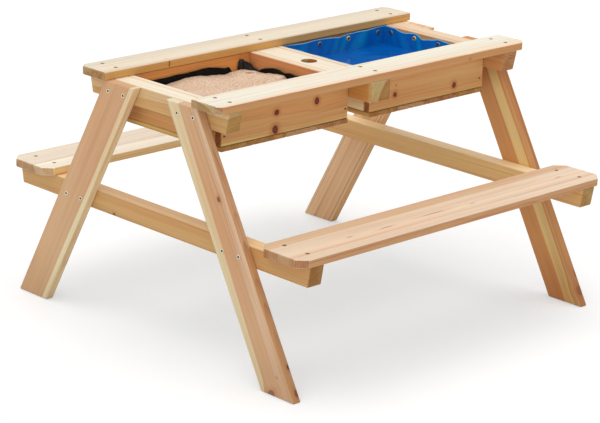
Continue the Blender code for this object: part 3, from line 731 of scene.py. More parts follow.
BOARDS = (
    Board("top_plank_front", Run.ALONG_FLAT, TOP_TIMBER, (60.0, -150.0), (168.0, 7.0), lean=0.02,
          band=("F3DEC4", 188.5, 7.5),
          knots=(Knot((276.0, -42.0, -4.0), (5.0, 4.0), KnotSide.EDGE, 0.25),)),
    Board("top_plank_rear", Run.ALONG_FLAT,
          replace(TOP_TIMBER, heart="EADDC6", sap="E0D5C1", edge_shading=(0.86, 0.56, 0.22)),
          (-120.0, -90.0), (179.0, 13.0), band=("E4D2BB", 128.5, 5.0),
          knots=(Knot((-282.0, -42.0, 0.0), (2.2, 7.5), KnotSide.EDGE, 0.6),)),
    Board("bench_front", Run.ALONG_FLAT, BENCH_TIMBER, (130.0, -12.0), (150.0, 18.0),
          band=("E0BE9A", 82.0, 22.0),
          # Its long cracks are knots drawn out along the grain
          knots=(Knot((-276.0, -11.5, 9.0), (8.0, 1.2), dark=0.8),
                 Knot((-172.0, -14.5, 9.0), (22.0, 1.2), dark=0.9),
                 Knot((-30.0, -10.5, 9.0), (38.0, 1.1), dark=0.8),
                 Knot((85.0, -14.8, 9.0), (8.0, 1.3), dark=0.6),
                 Knot((374.0, -5.0, 9.0), (9.0, 1.2), dark=0.7))),
    Board("bench_rear", Run.ALONG_FLAT,
          replace(BENCH_TIMBER, heart="EBDECA", sap="F8F1DE", edge_shading=(0.96, 0.75, 0.42), flush=0.3),
          (95.0, -60.0), (156.0, 26.0)),
    Board("leg_front_left", Run.LEG_FRONT, replace(LEG_TIMBER, end_gain=(1.17, 1.37, 1.71)), (-80.0, 0.0),
          (123.0, 26.0), lean=0.03, band=("DDBC9A", 49.0, 12.0),
          knots=(Knot((-102.3, -19.6, 0.0), (6.5, 5.0), dark=0.75),
                 Knot((261.0, -42.0, 7.5), (5.5, 4.5), KnotSide.EDGE),
                 Knot((316.0, -42.0, 6.0), (8.5, 5.0), KnotSide.EDGE, 0.75),
                 Knot((301.0, 14.5, 0.0), (9.0, 13.0), dark=0.6),
                 Knot((273.0, -16.5, 0.0), (3.0, 4.0), dark=0.25))),
    # Painted light that lifts its narrow edges
    Board("leg_rear_left", Run.LEG_REAR,
          replace(LEG_TIMBER, sap="E9DCB4", edge_shading=(1.06, 0.94, 0.84), dark_lines=0.08),
          (80.0, 0.0), (134.0, 25.5)),
    Board("leg_front_right", Run.LEG_FRONT,
          replace(LEG_TIMBER, heart="D6995E", sap="E9CB8A", late="BE8858", late_strength=0.4, dark_lines=0.3,
                  foot_shade=0.60),
          (-80.0, 0.0), (64.5, 14.0), band=("DDAC76", 40.0, 8.0),
          # These two faint knots near the foot also serve as painted shade there
          knots=(Knot((298.0, -42.0, 2.0), (12.0, 9.0), KnotSide.EDGE, 0.45),
                 Knot((259.0, -42.0, 7.0), (8.0, 4.0), KnotSide.EDGE, 0.5))),
    Board("leg_rear_right", Run.LEG_REAR,
          replace(LEG_TIMBER, heart="F4CC9E", late="B07C54", dark_lines=0.4, foot_shade=0.20),
          (-95.0, 20.0), (150.0, 10.0), band=("FFE0B4", 127.0, 14.0)),
    Board("top_rail_left", Run.ACROSS_UPRIGHT,
          replace(RAIL_TIMBER, sap="DDBE8E", top="F4E8D0", late="C08C5C", late_strength=0.45, dark_lines=0.12,
                  end_gain=(0.80, 0.78, 0.60), end_patch=(1.0, 0.96, 0.92)),
          (-70.0, 5.0), (92.0, 19.0), lean=-0.045),
    Board("top_rail_right", Run.ACROSS_UPRIGHT,
          replace(RAIL_TIMBER, heart="D39A66", top="EAD0B2", end_gain=(0.88, 0.95, 0.95)), (60.0, 20.0)),
    # Painted shade on its broad faces, which lie in the planks' shade
    Board("centre_rail", Run.ACROSS_UPRIGHT,
          replace(RAIL_TIMBER, top="F2E4CE", face_shading=(0.80, 0.48, 0.24), late_strength=0.22,
                  dark_lines=0.08),
          (-68.0, 115.0), (160.0, 28.0)),
    # The seat rails' upper edges are painted pale, as light, where the table top shades them
    Board("seat_rail_left", Run.ACROSS_UPRIGHT,
          replace(RAIL_TIMBER, top="F5D09E", heart="D2A86D", end_gain=(0.70, 0.69, 0.52)), (-60.0, 40.0),
          knots=(Knot((139.7, -17.4, 0.0), (4.0, 3.0), dark=0.7),)),
    Board("seat_rail_right", Run.ACROSS_UPRIGHT,
          replace(RAIL_TIMBER, top="FFE6B8", heart="E9C080", end_gain=(0.70, 0.76, 0.70)), (70.0, -30.0)),
    Board("sandbox_wall_front", Run.ALONG_UPRIGHT, BOX_TIMBER, (20.0, -62.0), (102.0, 13.0),
          band=("E3B070", 68.0, 7.0),
          knots=(Knot((-26.4, 3.0, 0.0), (7.5, 6.5)), Knot((-30.1, -33.3, 0.0), (9.0, 11.0)),
                 Knot((88.4, 8.5, 0.0), (8.0, 8.5))), seam_shade_mm=(2.0, 0.0)),
    Board("water_box_wall_front", Run.ALONG_UPRIGHT, replace(BOX_TIMBER, sap="DDB674"),
          (24.0, -70.0), (109.0, 10.0), band=("E7B778", 78.0, 9.0),
          knots=(Knot((-101.5, -16.8, 0.0), (6.5, 5.8)), Knot((87.0, -25.8, 0.0), (6.8, 7.5)),
                 Knot((-99.0, 2.0, 0.0), (2.2, 2.2), dark=0.7)), seam_shade_mm=(2.0, 0.0)),
    # Painted shade and light on its broad faces, and painted shade along both edges under the plank
    Board("sandbox_wall_rear", Run.ALONG_UPRIGHT, replace(BOX_TIMBER, face_shading=(1.15, 0.88, 0.64)),
          (-70.0, 50.0), seam_shade_mm=(2.0, 2.2)),
    # Painted shade on its broad faces and along both edges, under the plank's overhang
    Board("water_box_wall_rear", Run.ALONG_UPRIGHT, replace(BOX_TIMBER, face_shading=(0.72, 0.62, 0.5)),
          (-60.0, 60.0), seam_shade_mm=(2.0, 3.0)),
    Board("sandbox_wall_left", Run.ACROSS_UPRIGHT, replace(BOX_TIMBER, top="F4E8D0"),
          (50.0, -50.0), (114.0, 9.0),
          knots=(Knot((-60.0, -34.0, 0.0), (5.0, 3.0), dark=0.7),), seam_shade_mm=(1.0, 0.0)),
    # Painted shade on its broad faces
    Board("sandbox_wall_right", Run.ACROSS_UPRIGHT,
          replace(BOX_TIMBER, heart="D8A070", face_shading=(0.95, 0.80, 0.64)),
          (-80.0, 40.0), seam_shade_mm=(2.0, 0.0)),
    Board("water_box_wall_left", Run.ACROSS_UPRIGHT,
          replace(BOX_TIMBER, heart="CB9A60", sap="FCE4B0", top="F2DCC2", end_gain=(0.76, 0.66, 0.54)),
          (100.0, 10.0), (140.0, 28.0), seam_shade_mm=(2.0, 0.0)),
    Board("water_box_wall_right", Run.ACROSS_UPRIGHT, replace(BOX_TIMBER, top="E6C2A0"), (110.0, 20.0),
          seam_shade_mm=(2.0, 0.0)),
)


def floor_boards() -> tuple[Board, ...]:
    """The boards under both boxes, each cut from another place in its log.

    Returns:
        Four boards a box, every third one with a pale band.
    """
    hearts = ("C89C70", "CFAC6A", "CBA468", "C29868")
    boards = []
    for box_index, box in enumerate(("sandbox", "water_box")):
        for index in range(1, 5):
            turn = index * 2.1 + box_index * 1.3
            pith_mm = (45 * math.sin(turn), 40 + 25 * math.cos(turn))
            timber = replace(FLOOR_TIMBER, heart=hearts[(index + box_index) % len(hearts)])
            board = Board(f"{box}_floor_{index}", Run.ACROSS_FLAT, timber, pith_mm)
            banded = (index + box_index) % 3 == 0
            boards.append(replace(board, sap_mm=(70.0, 18.0)) if banded else board)
    return tuple(boards)


@dataclass
class Joinery:
    """All the boards of the table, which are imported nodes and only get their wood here.

    Attributes:
        boards: the boards and where each was cut from its log.
    """

    boards: tuple[Board, ...] = field(default_factory=lambda: BOARDS + floor_boards())

    def dress(self) -> list[str]:
        """Give every board its own wood.

        Returns:
            The names of the boards.
        """
        grain = TimberGrain()
        for board in self.boards:
            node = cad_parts[board.node]
            wood = grain.material(board)
            for slot in node.material_slots:
                slot.material = wood
        return [board.node for board in self.boards]


# Screws


@dataclass(frozen=True)
class ScrewMetal:
    """Plated steel, bright where it is new and dull where the plating is thin.

    Attributes:
        name: the material's name.
        tone: its colour.
        dull: its colour in the dull patches.
        roughness: the shader's roughness.
        patch_mm: the size of a dull patch.
    """

    name: str
    tone: str
    dull: str
    roughness: float
    patch_mm: float = 2.5

    def material(self) -> Material:
        """Make the metal, which is rougher where it is dull.

        Returns:
            The material.
        """
        material, tree, shader = new_material(self.name)
        where = add_node(tree, "TexCoord").outputs["Object"]
        patch = add_node(tree, "TexNoise",
                         {"Vector": where, "Scale": 1 / (self.patch_mm * MM), "Detail": 2.0})
        colour = add_node(tree, "Mix", {0: patch, 6: linear(self.tone), 7: linear(self.dull)},
                          **BLEND).outputs[2]
        rough = add_node(tree, "Math", {0: patch, 1: 0.2, 2: self.roughness}, operation="MULTIPLY_ADD")
        feed(shader, {"Base Color": colour, "Roughness": rough, "Metallic": 1.0})
        return material


def socket_shade() -> Material:
    """Painted shade inside a socket: near black, standing in for the shadow of its deep recess.

    Returns:
        The material.
    """
    material, tree, shader = new_material("socket_painted_shade")
    # The painted shade is mottled a little between two near-black browns
    shade_mottle_mm = 1.2
    where = add_node(tree, "TexCoord").outputs["Object"]
    shade_mottle = add_node(tree, "TexNoise", {"Vector": where, "Scale": 1 / (shade_mottle_mm * MM)})
    colour = add_node(tree, "Mix", {0: shade_mottle, 6: linear("060605"), 7: linear("14110E")}, **BLEND).outputs[2]
    feed(shader, {"Base Color": colour, "Roughness": 0.7, "Specular IOR Level": 0.1})
    return material


@dataclass(frozen=True)
class ScrewShape:
    """A screw with a hexagon socket: countersunk, or domed where its crown is above nought.

    Attributes:
        head_mm: radius of the head.
        neck_mm: radius of the shank.
        sink_mm: height of the cone under the head.
        length_mm: length of the whole screw.
        socket_mm: radius of the socket to its corners.
        socket_depth_mm: depth of the socket.
        crown_mm: how far the head's middle stands above its rim.
    """

    head_mm: float
    neck_mm: float
    sink_mm: float
    length_mm: float
    socket_mm: float
    socket_depth_mm: float
    crown_mm: float = 0.0
    SIDES = 36
    TIP_MM = 0.25
    RIM_MM = 0.35
    LIP_MM = 0.45
    # The point's length and its shoulder, as shares of the shank's radius
    POINT_SHARES = (2.4, 2.9, 0.85)

    def _loops(self) -> list[tuple[float, float, bool]]:
        """The screw's outline, from its tip over its head and down into its socket.

        Returns:
            Radius and height of each loop, in millimetres, and whether it is a hexagon.
        """
        point, taper, shoulder = (share * self.neck_mm for share in self.POINT_SHARES)
        lip = self.socket_mm + self.LIP_MM
        return [
            (self.TIP_MM, -self.length_mm, False),
            (shoulder, point - self.length_mm, False),
            (self.neck_mm, taper - self.length_mm, False),
            (self.neck_mm, -self.sink_mm - self.RIM_MM, False),
            (self.head_mm - 0.15, -self.RIM_MM, False),
            (self.head_mm, -self.RIM_MM * 0.6, False),
            (self.head_mm - 0.2, 0.0, False),
            ((self.head_mm + lip) / 2, self.crown_mm * 0.75, False),
            (lip, self.crown_mm, False),
            (self.socket_mm, self.crown_mm - 0.12, True),
            (self.socket_mm - 0.06, self.crown_mm - 0.35, True),
            (self.socket_mm - 0.06, self.crown_mm - self.socket_depth_mm, True),
        ]

    def _ring(self, radius: float, hexagon: bool, index: int) -> Pair:
        """Place one point of a loop.

        Args:
            radius: the loop's radius, to its corners where it is a hexagon.
            hexagon: whether it is one.
            index: the point's number.

        Returns:
            Its X and Y, in millimetres.
        """
        angle = 2 * math.pi * index / self.SIDES
        if hexagon:
            off = (angle + math.pi / 6) % (math.pi / 3) - math.pi / 6
            radius *= math.cos(math.pi / 6) / math.cos(off)
        return radius * math.cos(angle), radius * math.sin(angle)

    def add_to(self, bm: bmesh.types.BMesh, place: Matrix) -> None:
        """Model one screw.

        Args:
            bm: the mesh that takes it.
            place: the middle of its head, with Z pointing out of the wood.
        """
        loops = self._loops()
        made = bmesh.ops.create_circle(bm, cap_ends=False, radius=1.0, segments=self.SIDES)["verts"]
        ring = sorted(made, key=lambda vert: math.atan2(vert.co.y, vert.co.x) % (2 * math.pi))
        bottom = list(ring)
        self._shape(ring, loops[0], place)
        for index, loop in enumerate(loops[1:]):
            edges = [edge for edge in {edge for vert in ring for edge in vert.link_edges}
                     if all(end in ring for end in edge.verts)]
            grown = bmesh.ops.extrude_edge_only(bm, edges=edges)["geom"]
            fresh = {item for item in grown if isinstance(item, bmesh.types.BMVert)}
            if index == len(loops) - 2:
                for wall in (item for item in grown if isinstance(item, bmesh.types.BMFace)):
                    wall.material_index = 1
            ring = [next(edge.other_vert(vert) for edge in vert.link_edges if edge.other_vert(vert) in fresh)
                    for vert in ring]
            self._shape(ring, loop, place)
        bmesh.ops.contextual_create(bm, geom=ring, mat_nr=1)
        bmesh.ops.contextual_create(bm, geom=bottom)

    def _shape(self, ring: list[bmesh.types.BMVert], loop: tuple[float, float, bool], place: Matrix) -> None:
        """Move a loop's points to where they belong.

        Args:
            ring: the points.
            loop: radius, height and whether it is a hexagon.
            place: the middle of the screw's head, with Z pointing out of the wood.
        """
        radius, height, hexagon = loop
        for index, vert in enumerate(ring):
            x, y = self._ring(radius, hexagon, index)
            vert.co = place @ Vector((x * MM, y * MM, height * MM))


@dataclass
class Screws:
    """Every screw that shows: through the legs, the benches, the planks and the boxes' walls.

    Attributes:
        leg: the countersunk screws of the legs.
        board: the sunk screws of the planks and benches.
        box: the small screws in the ends of the boxes' front and rear walls.
        plank_sink_mm: how deep a plank's screw is sunk.
        plank_rows_mm: distance of the planks' screw rows from the table's middle.
        rail_mm: distance of the end rails' middle from the table's middle.
        box_screw_mm: places of the box screws along the table, and their height.
    """

    leg: ScrewShape = ScrewShape(4.9, 3.0, 3.0, 47.9, 3.0, 2.2)
    board: ScrewShape = ScrewShape(4.4, 2.4, 2.5, 43.8, 2.0, 1.9)
    box: ScrewShape = ScrewShape(2.6, 1.4, 0.0, 1.2, 1.1, 0.5, crown_mm=0.5)
    plank_sink_mm: float = 1.5
    plank_rows_mm: Pair = (157.5, 201.5)
    rail_mm: float = 413.2
    box_screw_mm: tuple[tuple[float, ...], float] = ((-386.0, -40.5, 40.5, 382.4), 478.0)

    def build(self) -> list[str]:
        """Model and place them all.

        Returns:
            The names of the pieces.
        """
        # Bright zinc plating over steel: nearly white in the light, with painted shade in its socket
        zinc = ScrewMetal("zinc_plated_steel", "FFF6DC", "F4E8C8", 0.26).material()
        # Dull steel sunk in the wood, its colour darkened as painted shade of its recess
        sunk_steel_shaded = ScrewMetal("sunk_steel_painted_shade", "A59684", "6E6154", 0.38).material()
        hollow = socket_shade()
        made = []
        for name in sorted(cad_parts):
            if "_screw_" not in name:
                continue
            low, high = (Vector(corner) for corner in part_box(name))
            middle = (low + high) / 2
            bench = name.startswith("bench")
            if bench:
                place = Matrix.Translation((middle.x, middle.y, high.z))
            else:
                side = 1 if middle.x > 0 else -1
                face = high.x if side > 0 else low.x
                turn = Matrix.Rotation(side * math.pi / 2, 4, "Y")
                place = Matrix.Translation((face, middle.y, middle.z)) @ turn
            bm = bmesh.new()
            (self.board if bench else self.leg).add_to(bm, place)
            piece = finish_piece(f"{name}_turned", bm, (sunk_steel_shaded if bench else zinc, hollow))
            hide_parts(name)
            made.append(piece.name)
        made += self._plank_screws((sunk_steel_shaded, hollow))
        made.append(self._box_screws((sunk_steel_shaded, hollow)))
        return made

    def _plank_screws(self, metals: tuple[Material, ...]) -> list[str]:
        """The six screws of each top plank, in the planks' own holes.

        Args:
            metals: the metal, and the shade in the sockets.

        Returns:
            The names of the pieces.
        """
        made = []
        for name, side in (("front", -1), ("rear", 1)):
            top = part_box(f"top_plank_{name}")[1][2] - self.plank_sink_mm * MM
            bm = bmesh.new()
            for along in (-self.rail_mm, 0.0, self.rail_mm):
                for row in self.plank_rows_mm:
                    self.board.add_to(bm, Matrix.Translation((along * MM, side * row * MM, top)))
            made.append(finish_piece(f"top_plank_screws_{name}", bm, metals).name)
        return made

    def _box_screws(self, metals: tuple[Material, ...]) -> str:
        """The small screws that hold the front and rear walls to the side walls.

        Args:
            metals: the metal, and the shade in the sockets.

        Returns:
            The name of the piece.
        """
        bm = bmesh.new()
        spots, height = self.box_screw_mm
        for name, side in (("front", -1), ("rear", 1)):
            low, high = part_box(f"sandbox_wall_{name}")
            face = low[1] if side < 0 else high[1]
            turn = Matrix.Rotation(-side * math.pi / 2, 4, "X")
            for along in spots:
                self.box.add_to(bm, Matrix.Translation((along * MM, face, height * MM)) @ turn)
        return finish_piece("box_wall_screws", bm, metals).name


# Linings and what they hold


class Wall(Enum):
    """A wall of a box and the way into the box from it."""

    FRONT = (0, 1)
    REAR = (0, -1)
    LEFT = (1, 0)
    RIGHT = (-1, 0)


def blend_points(points: Points, along: float) -> float:
    """Read a smooth line through points.

    Args:
        points: places and levels, in any one unit, in rising order of place.
        along: the place.

    Returns:
        The level there, held at both ends.
    """
    if along <= points[0][0]:
        return points[0][1]
    for (start, low), (end, high) in zip(points, points[1:]):
        if along <= end:
            share = (along - start) / (end - start)
            return low + (high - low) * share * share * (3 - 2 * share)
    return points[-1][1]


@dataclass(frozen=True)
class Waves:
    """The noise that lays a sheet in waves.

    Attributes:
        along: how many lie on a metre of a wall.
        up: how many on a metre of height.
        slant: how many they shift along the wall on a metre of height, so that they run aslant.
        layer: where the noise of the first wall is read, and the step from wall to wall.
    """

    along: float
    up: float
    slant: float
    layer: Pair

    def level(self, wall: Wall, along: float, height: float) -> float:
        """Read the noise.

        Args:
            wall: a wall.
            along: a place along it.
            height: a height there.

        Returns:
            Its level there, from -1 to 1.
        """
        start, step = self.layer
        layer = step * list(Wall).index(wall) + start
        return noise.noise(Vector((along * self.along + height * self.slant, layer, height * self.up)))


@dataclass
class Lining:
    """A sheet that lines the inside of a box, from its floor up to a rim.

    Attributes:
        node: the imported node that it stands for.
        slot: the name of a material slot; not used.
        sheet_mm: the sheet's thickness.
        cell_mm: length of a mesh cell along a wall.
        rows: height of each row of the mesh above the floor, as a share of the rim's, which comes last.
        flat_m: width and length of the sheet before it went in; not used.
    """

    node: str
    slot: str
    sheet_mm: float
    cell_mm: float
    rows: tuple[float, ...]
    flat_m: Pair

    def __post_init__(self) -> None:
        """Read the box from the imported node."""
        self.low, self.high = (Vector(corner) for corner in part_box(self.node))

    def rim(self, wall: Wall, along: float) -> float:
        """Height of the rim, in metres, at a place along a wall."""
        raise NotImplementedError

    def slack(self, wall: Wall, along: float, height: float) -> float:
        """How far the sheet stands off a wall, in metres, at a place and a height."""
        raise NotImplementedError

    def fold_highlight(self, wall: Wall, along: float, height: float) -> float:
        """Strength of the painted highlight on a fold, from 0 to 1."""
        return 0.0

    def _ends(self, wall: Wall) -> Pair:
        """Where a wall begins and where it ends."""
        axis = 0 if wall in (Wall.FRONT, Wall.REAR) else 1
        return self.low[axis], self.high[axis]

    def _walls(self, base: Vector) -> list[tuple[Wall, float]]:
        """The walls that a point of the floor's outline touches.

        Args:
            base: the point.

        Returns:
            Each wall, and the point's place along it.
        """
        near = 0.001 * MM
        reached = (
            (Wall.FRONT, base.y < self.low.y + near, base.x),
            (Wall.REAR, base.y > self.high.y - near, base.x),
            (Wall.LEFT, base.x < self.low.x + near, base.y),
            (Wall.RIGHT, base.x > self.high.x - near, base.y),
        )
        return [(wall, along) for wall, touched, along in reached if touched]

    def _raise(self, base: Vector, share: float) -> Vector:
        """Pull a point of the floor's outline up the walls that it touches.

        Args:
            base: the point.
            share: how far up to the rim it goes.

        Returns:
            Where it lands.
        """
        touched = self._walls(base)
        top = sum(self.rim(wall, along) for wall, along in touched) / len(touched)
        height = self.low.z + share * (top - self.low.z)
        point = Vector((base.x, base.y, height))
        for wall, along in touched:
            off = self.slack(wall, along, height)
            point.x += wall.value[0] * off
            point.y += wall.value[1] * off
        return point

    def mesh(self) -> bmesh.types.BMesh:
        """Fold the sheet: a floor whose outline is pulled up the walls, row by row.

        Returns:
            The sheet, as thin as paper, with its share of the rim's height and its painted highlight per
            vertex.
        """
        bm = bmesh.new()
        share_layer = bm.verts.layers.float.new("rim_share")
        fold_highlight_layer = bm.verts.layers.float.new("fold_highlight")
        size = self.high - self.low
        cells = [max(4, round(length / (self.cell_mm * MM))) for length in (size.x, size.y)]
        bmesh.ops.create_grid(bm, x_segments=cells[0], y_segments=cells[1], size=0.5)
        middle = (self.low + self.high) / 2
        for vert in bm.verts:
            vert.co = Vector((middle.x + vert.co.x * size.x, middle.y + vert.co.y * size.y, self.low.z))
        edges = [edge for edge in bm.edges if edge.is_boundary]
        bases = {vert: vert.co.copy() for edge in edges for vert in edge.verts}
        for vert, base in bases.items():
            vert.co = self._raise(base, 0.0)
        for share in self.rows:
            grown = bmesh.ops.extrude_edge_only(bm, edges=edges)["geom"]
            fresh = {item for item in grown if isinstance(item, bmesh.types.BMVert)}
            edges = [item for item in grown if isinstance(item, bmesh.types.BMEdge)
                     and all(vert in fresh for vert in item.verts)]
            carried = {}
            for vert, base in bases.items():
                twin = next(other for other in (edge.other_vert(vert) for edge in vert.link_edges)
                            if other in fresh)
                carried[twin] = base
                twin.co = self._raise(base, share)
                twin[share_layer] = share
                walls = self._walls(base)
                twin[fold_highlight_layer] = sum(self.fold_highlight(*place, twin.co.z) for place in walls) / len(walls)
            bases = carried
        return bm

    def thicken(self, piece: bpy.types.Object) -> None:
        """Give the sheet its thickness and round its folds.

        Args:
            piece: the sheet.
        """
        smooth = piece.modifiers.new("folds", "SUBSURF")
        smooth.levels = 1
        smooth.render_levels = 1
        wall = piece.modifiers.new("sheet", "SOLIDIFY")
        wall.thickness = self.sheet_mm * MM
        wall.offset = 0.0


@dataclass
class SandLining(Lining):
    """Black woven ground sheet, slack along the walls and folded into ears at the corners.

    Attributes:
        rear_mm: height of the rim along the rear wall, by place along it.
        right_mm: the same along the right wall.
        front_mm: the same at the left and the right end of the front wall.
        left_mm: the same at the front and the rear end of the left wall.
        close_mm: how far the sheet stands off a wall under the sand.
        loose_mm: the height where it comes loose, and over what height it does.
        swell_mm: how far its broad waves stand off the wall, and its sharp creases.
        curl_mm: height and depth of the roll along its rim.
        tall_ear_mm: points along the ear in the rear right corner: its offset in X and Y from the corner,
            and the heights of its lower and its upper edge.
        low_ear_mm: the first such point of the other ears, and the step to each of the next three.
    """

    node: str = "sand_liner"
    slot: str = "black_fabric"
    sheet_mm: float = 0.7
    cell_mm: float = 4.6
    rows: tuple[float, ...] = (0.2, 0.45, 0.62, 0.70, 0.77, 0.83, 0.88, 0.92, 0.95, 0.98, 1.0)
    flat_m: Pair = (0.490, 0.440)
    rear_mm: Points = (
        (-379.0, 526.0), (-326.0, 526.6), (-289.0, 526.6), (-262.0, 528.2), (-240.0, 527.8), (-215.0, 528.8),
        (-190.0, 530.2), (-174.0, 530.2), (-152.0, 527.2), (-133.0, 523.4), (-121.0, 520.5), (-114.0, 522.6),
        (-108.0, 519.6), (-103.0, 512.0), (-98.0, 507.5), (-92.0, 505.0), (-48.0, 505.5),
    )
    right_mm: Points = (
        (-140.0, 520.0), (-80.0, 522.0), (-40.0, 521.0), (-11.0, 523.4), (1.0, 525.5), (14.0, 523.5),
        (20.0, 521.0), (28.0, 524.2), (39.0, 525.6), (52.0, 525.6), (65.0, 523.8), (82.0, 520.7),
        (94.0, 517.0), (103.0, 512.0), (108.0, 509.0), (120.0, 506.0), (140.0, 505.5),
    )
    front_mm: Pair = (524.0, 520.0)
    left_mm: Pair = (524.0, 526.0)
    close_mm: float = 0.6
    loose_mm: Pair = (503.0, 20.0)
    swell_mm: Pair = (6.0, 3.2)
    curl_mm: Pair = (4.0, 1.6)
    tall_ear_mm: tuple[tuple[float, float, float, float], ...] = (
        (-3.5, -34.0, 498.0, 509.5), (-5.5, -27.0, 498.0, 514.0), (-7.5, -20.0, 499.0, 518.5),
        (-12.0, -13.0, 499.0, 524.7), (-17.0, -9.2, 500.0, 528.2), (-23.0, -6.0, 501.0, 531.7),
        (-29.5, -4.4, 502.0, 536.4), (-33.0, -4.0, 503.0, 533.0), (-37.0, -3.8, 504.0, 525.0),
    )
    low_ear_mm: tuple[tuple[float, ...], tuple[float, ...]] = (
        (6.5, 6.0, 498.0, 518.0), (3.0, 5.5, 0.0, -2.5),
    )
    SWELLS = Waves(21, 9, 0, (0, 2.7))
    CREASES = Waves(55, 30, 40, (9, 2.7))
    # The rims that the planks hide: height of their waves, waves to a metre, and how fast they start
    RIM_WAVES = (3.0, 16, 12)

    def rim(self, wall: Wall, along: float) -> float:
        """Read the rim's height off the points, or wave it between its ends where the planks hide it.

        Args:
            wall: the wall.
            along: a place along it.

        Returns:
            The height there, in metres.
        """
        if wall is Wall.REAR:
            return blend_points(self.rear_mm, along / MM) * MM
        if wall is Wall.RIGHT:
            return blend_points(self.right_mm, along / MM) * MM
        front = wall is Wall.FRONT
        near, far = self._ends(wall)
        share = (along - near) / (far - near)
        start, end = self.front_mm if front else self.left_mm
        high, count, rise = self.RIM_WAVES
        wave = high * noise.noise(Vector((along * count, 3.1, 1.3 if front else 7.7)))
        inside = min(1.0, rise * share, rise * (1 - share))
        return (start + (end - start) * share + wave * inside) * MM

    def slack(self, wall: Wall, along: float, height: float) -> float:
        """The sheet lies close under the sand and loosens towards its rim, which rolls in.

        Args:
            wall: the wall.
            along: a place along it.
            height: the height there.

        Returns:
            How far the sheet stands off the wall, in metres.
        """
        start, over = (value * MM for value in self.loose_mm)
        free = max(0.0, min(1.0, (height - start) / over))
        swell = 0.5 + 0.5 * self.SWELLS.level(wall, along, height)
        crease = abs(self.CREASES.level(wall, along, height))
        waves = self.swell_mm[0] * swell * swell + self.swell_mm[1] * crease
        high, deep = self.curl_mm
        curl = max(0.0, (height - self.rim(wall, along)) / MM + high) / high
        return (self.close_mm + free * (waves + deep * curl * curl)) * MM

    def material(self, name: str = "woven_ground_sheet", gloss: float = 0.12) -> Material:
        """Woven polypropylene: black, with a dull sheen and a weave that only just shows.

        Args:
            name: the material's name.
            gloss: the shader's specular level, higher where hands have rubbed the fabric.

        Returns:
            The material.
        """
        material, tree, shader = new_material(name)
        # Real threads are under a millimetre, too fine to show, so they are drawn at 1.4 mm
        thread_mm, dust_mm = 1.4, 14
        where = add_node(tree, "TexCoord").outputs["Object"]
        scale = math.pi / (thread_mm * MM)
        scaled = add_node(tree, "VectorMath", {0: where, "Scale": scale}, operation="SCALE")
        wave = add_node(tree, "VectorMath", {0: scaled}, operation="SINE")
        parts = add_node(tree, "SeparateXYZ", {0: wave}).outputs
        flat = add_node(tree, "Math", {0: parts["X"], 1: parts["Y"]}, operation="ADD")
        weave = add_node(tree, "Math", {0: flat, 1: parts["Z"]}, operation="MULTIPLY")
        dust = add_node(tree, "TexNoise",
                        {"Vector": where, "Scale": 1 / (dust_mm * MM), "Detail": 4.0, "Roughness": 0.7})
        dusty = add_node(tree, "MapRange", {"Value": dust, **span(0.56, 0.8, 0.0, 0.35)})
        colour = add_node(tree, "Mix", {0: dusty, 6: linear("070708"), 7: linear("181715")},
                          **BLEND).outputs[2]
        bump = add_node(tree, "Bump", {"Height": weave, "Strength": 0.5, "Distance": 0.15 * MM})
        feed(shader, {"Base Color": colour, "Normal": bump, "Roughness": 0.5, "Specular IOR Level": gloss})
        return material

    def _ear(self, name: str, corner: Vector, path_mm: tuple[tuple[float, float, float, float], ...],
             cloth: Material, pleat_mm: float = 0.0) -> bpy.types.Object:
        """Fold a spare corner of the sheet into a standing flap.

        Args:
            name: the flap's name.
            corner: the corner of the box that it stands in.
            path_mm: points along the flap, as the field tall_ear_mm has them.
            cloth: the sheet's material.
            pleat_mm: depth of its upright pleats.

        Returns:
            The flap.
        """
        rows, columns = 8, 34
        crease_mm, lean_mm, half_waves = 1.6, -1.5, 5.5
        bm = bmesh.new()
        bmesh.ops.create_grid(bm, x_segments=columns, y_segments=rows, size=0.5)
        steps = [index / (len(path_mm) - 1) for index in range(len(path_mm))]
        for vert in bm.verts:
            along, up = vert.co.x + 0.5, vert.co.y + 0.5
            x, y, low, high = (blend_points(tuple(zip(steps, values)), along) for values in zip(*path_mm))
            crease = crease_mm * noise.noise(Vector((along * 5, up * 3, corner.x * 9))) * (0.3 + up)
            lean = lean_mm * up * up * math.sin(math.pi * min(1.0, along * 1.1))
            pleat = math.sin(half_waves * math.pi * along - 2.0 * up)
            lean += pleat_mm * up * pleat * min(1.0, 5 * (1 - along))
            vert.co = Vector((corner.x + (x + crease) * MM, corner.y + (y + lean + crease) * MM,
                              (low + (high - low) * up) * MM))
        flap = finish_piece(name, bm, (cloth,))
        self.thicken(flap)
        flap.modifiers["sheet"].thickness = 2 * self.sheet_mm * MM
        return flap

    def build(self) -> list[str]:
        """Model the lining and the ears at its corners.

        Returns:
            The names of the pieces.
        """
        cloth = self.material()
        piece = finish_piece("sand_lining", self.mesh(), (cloth,))
        self.thicken(piece)
        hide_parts(self.node)
        rear_right = Vector((self.high.x, self.high.y, 0))
        # The ear that stands highest shines where it has been rubbed
        rubbed = self.material("rubbed_ground_sheet", 0.5)
        ears = [self._ear("sand_lining_ear_rear_right", rear_right, self.tall_ear_mm, rubbed, 4.0)]
        first, more = self.low_ear_mm
        for name, corner in (("rear_left", Vector((self.low.x, self.high.y, 0))),
                             ("front_left", Vector((self.low.x, self.low.y, 0))),
                             ("front_right", Vector((self.high.x, self.low.y, 0)))):
            ways = (1 if "left" in name else -1, 1 if "front" in name else -1, 1, 1)
            path_mm = tuple(
                tuple(way * (value + step * extra) for way, value, extra in zip(ways, first, more))
                for step in range(4)
            )
            ears.append(self._ear(f"sand_lining_ear_{name}", corner, path_mm, cloth))
        return [piece.name] + [ear.name for ear in ears]


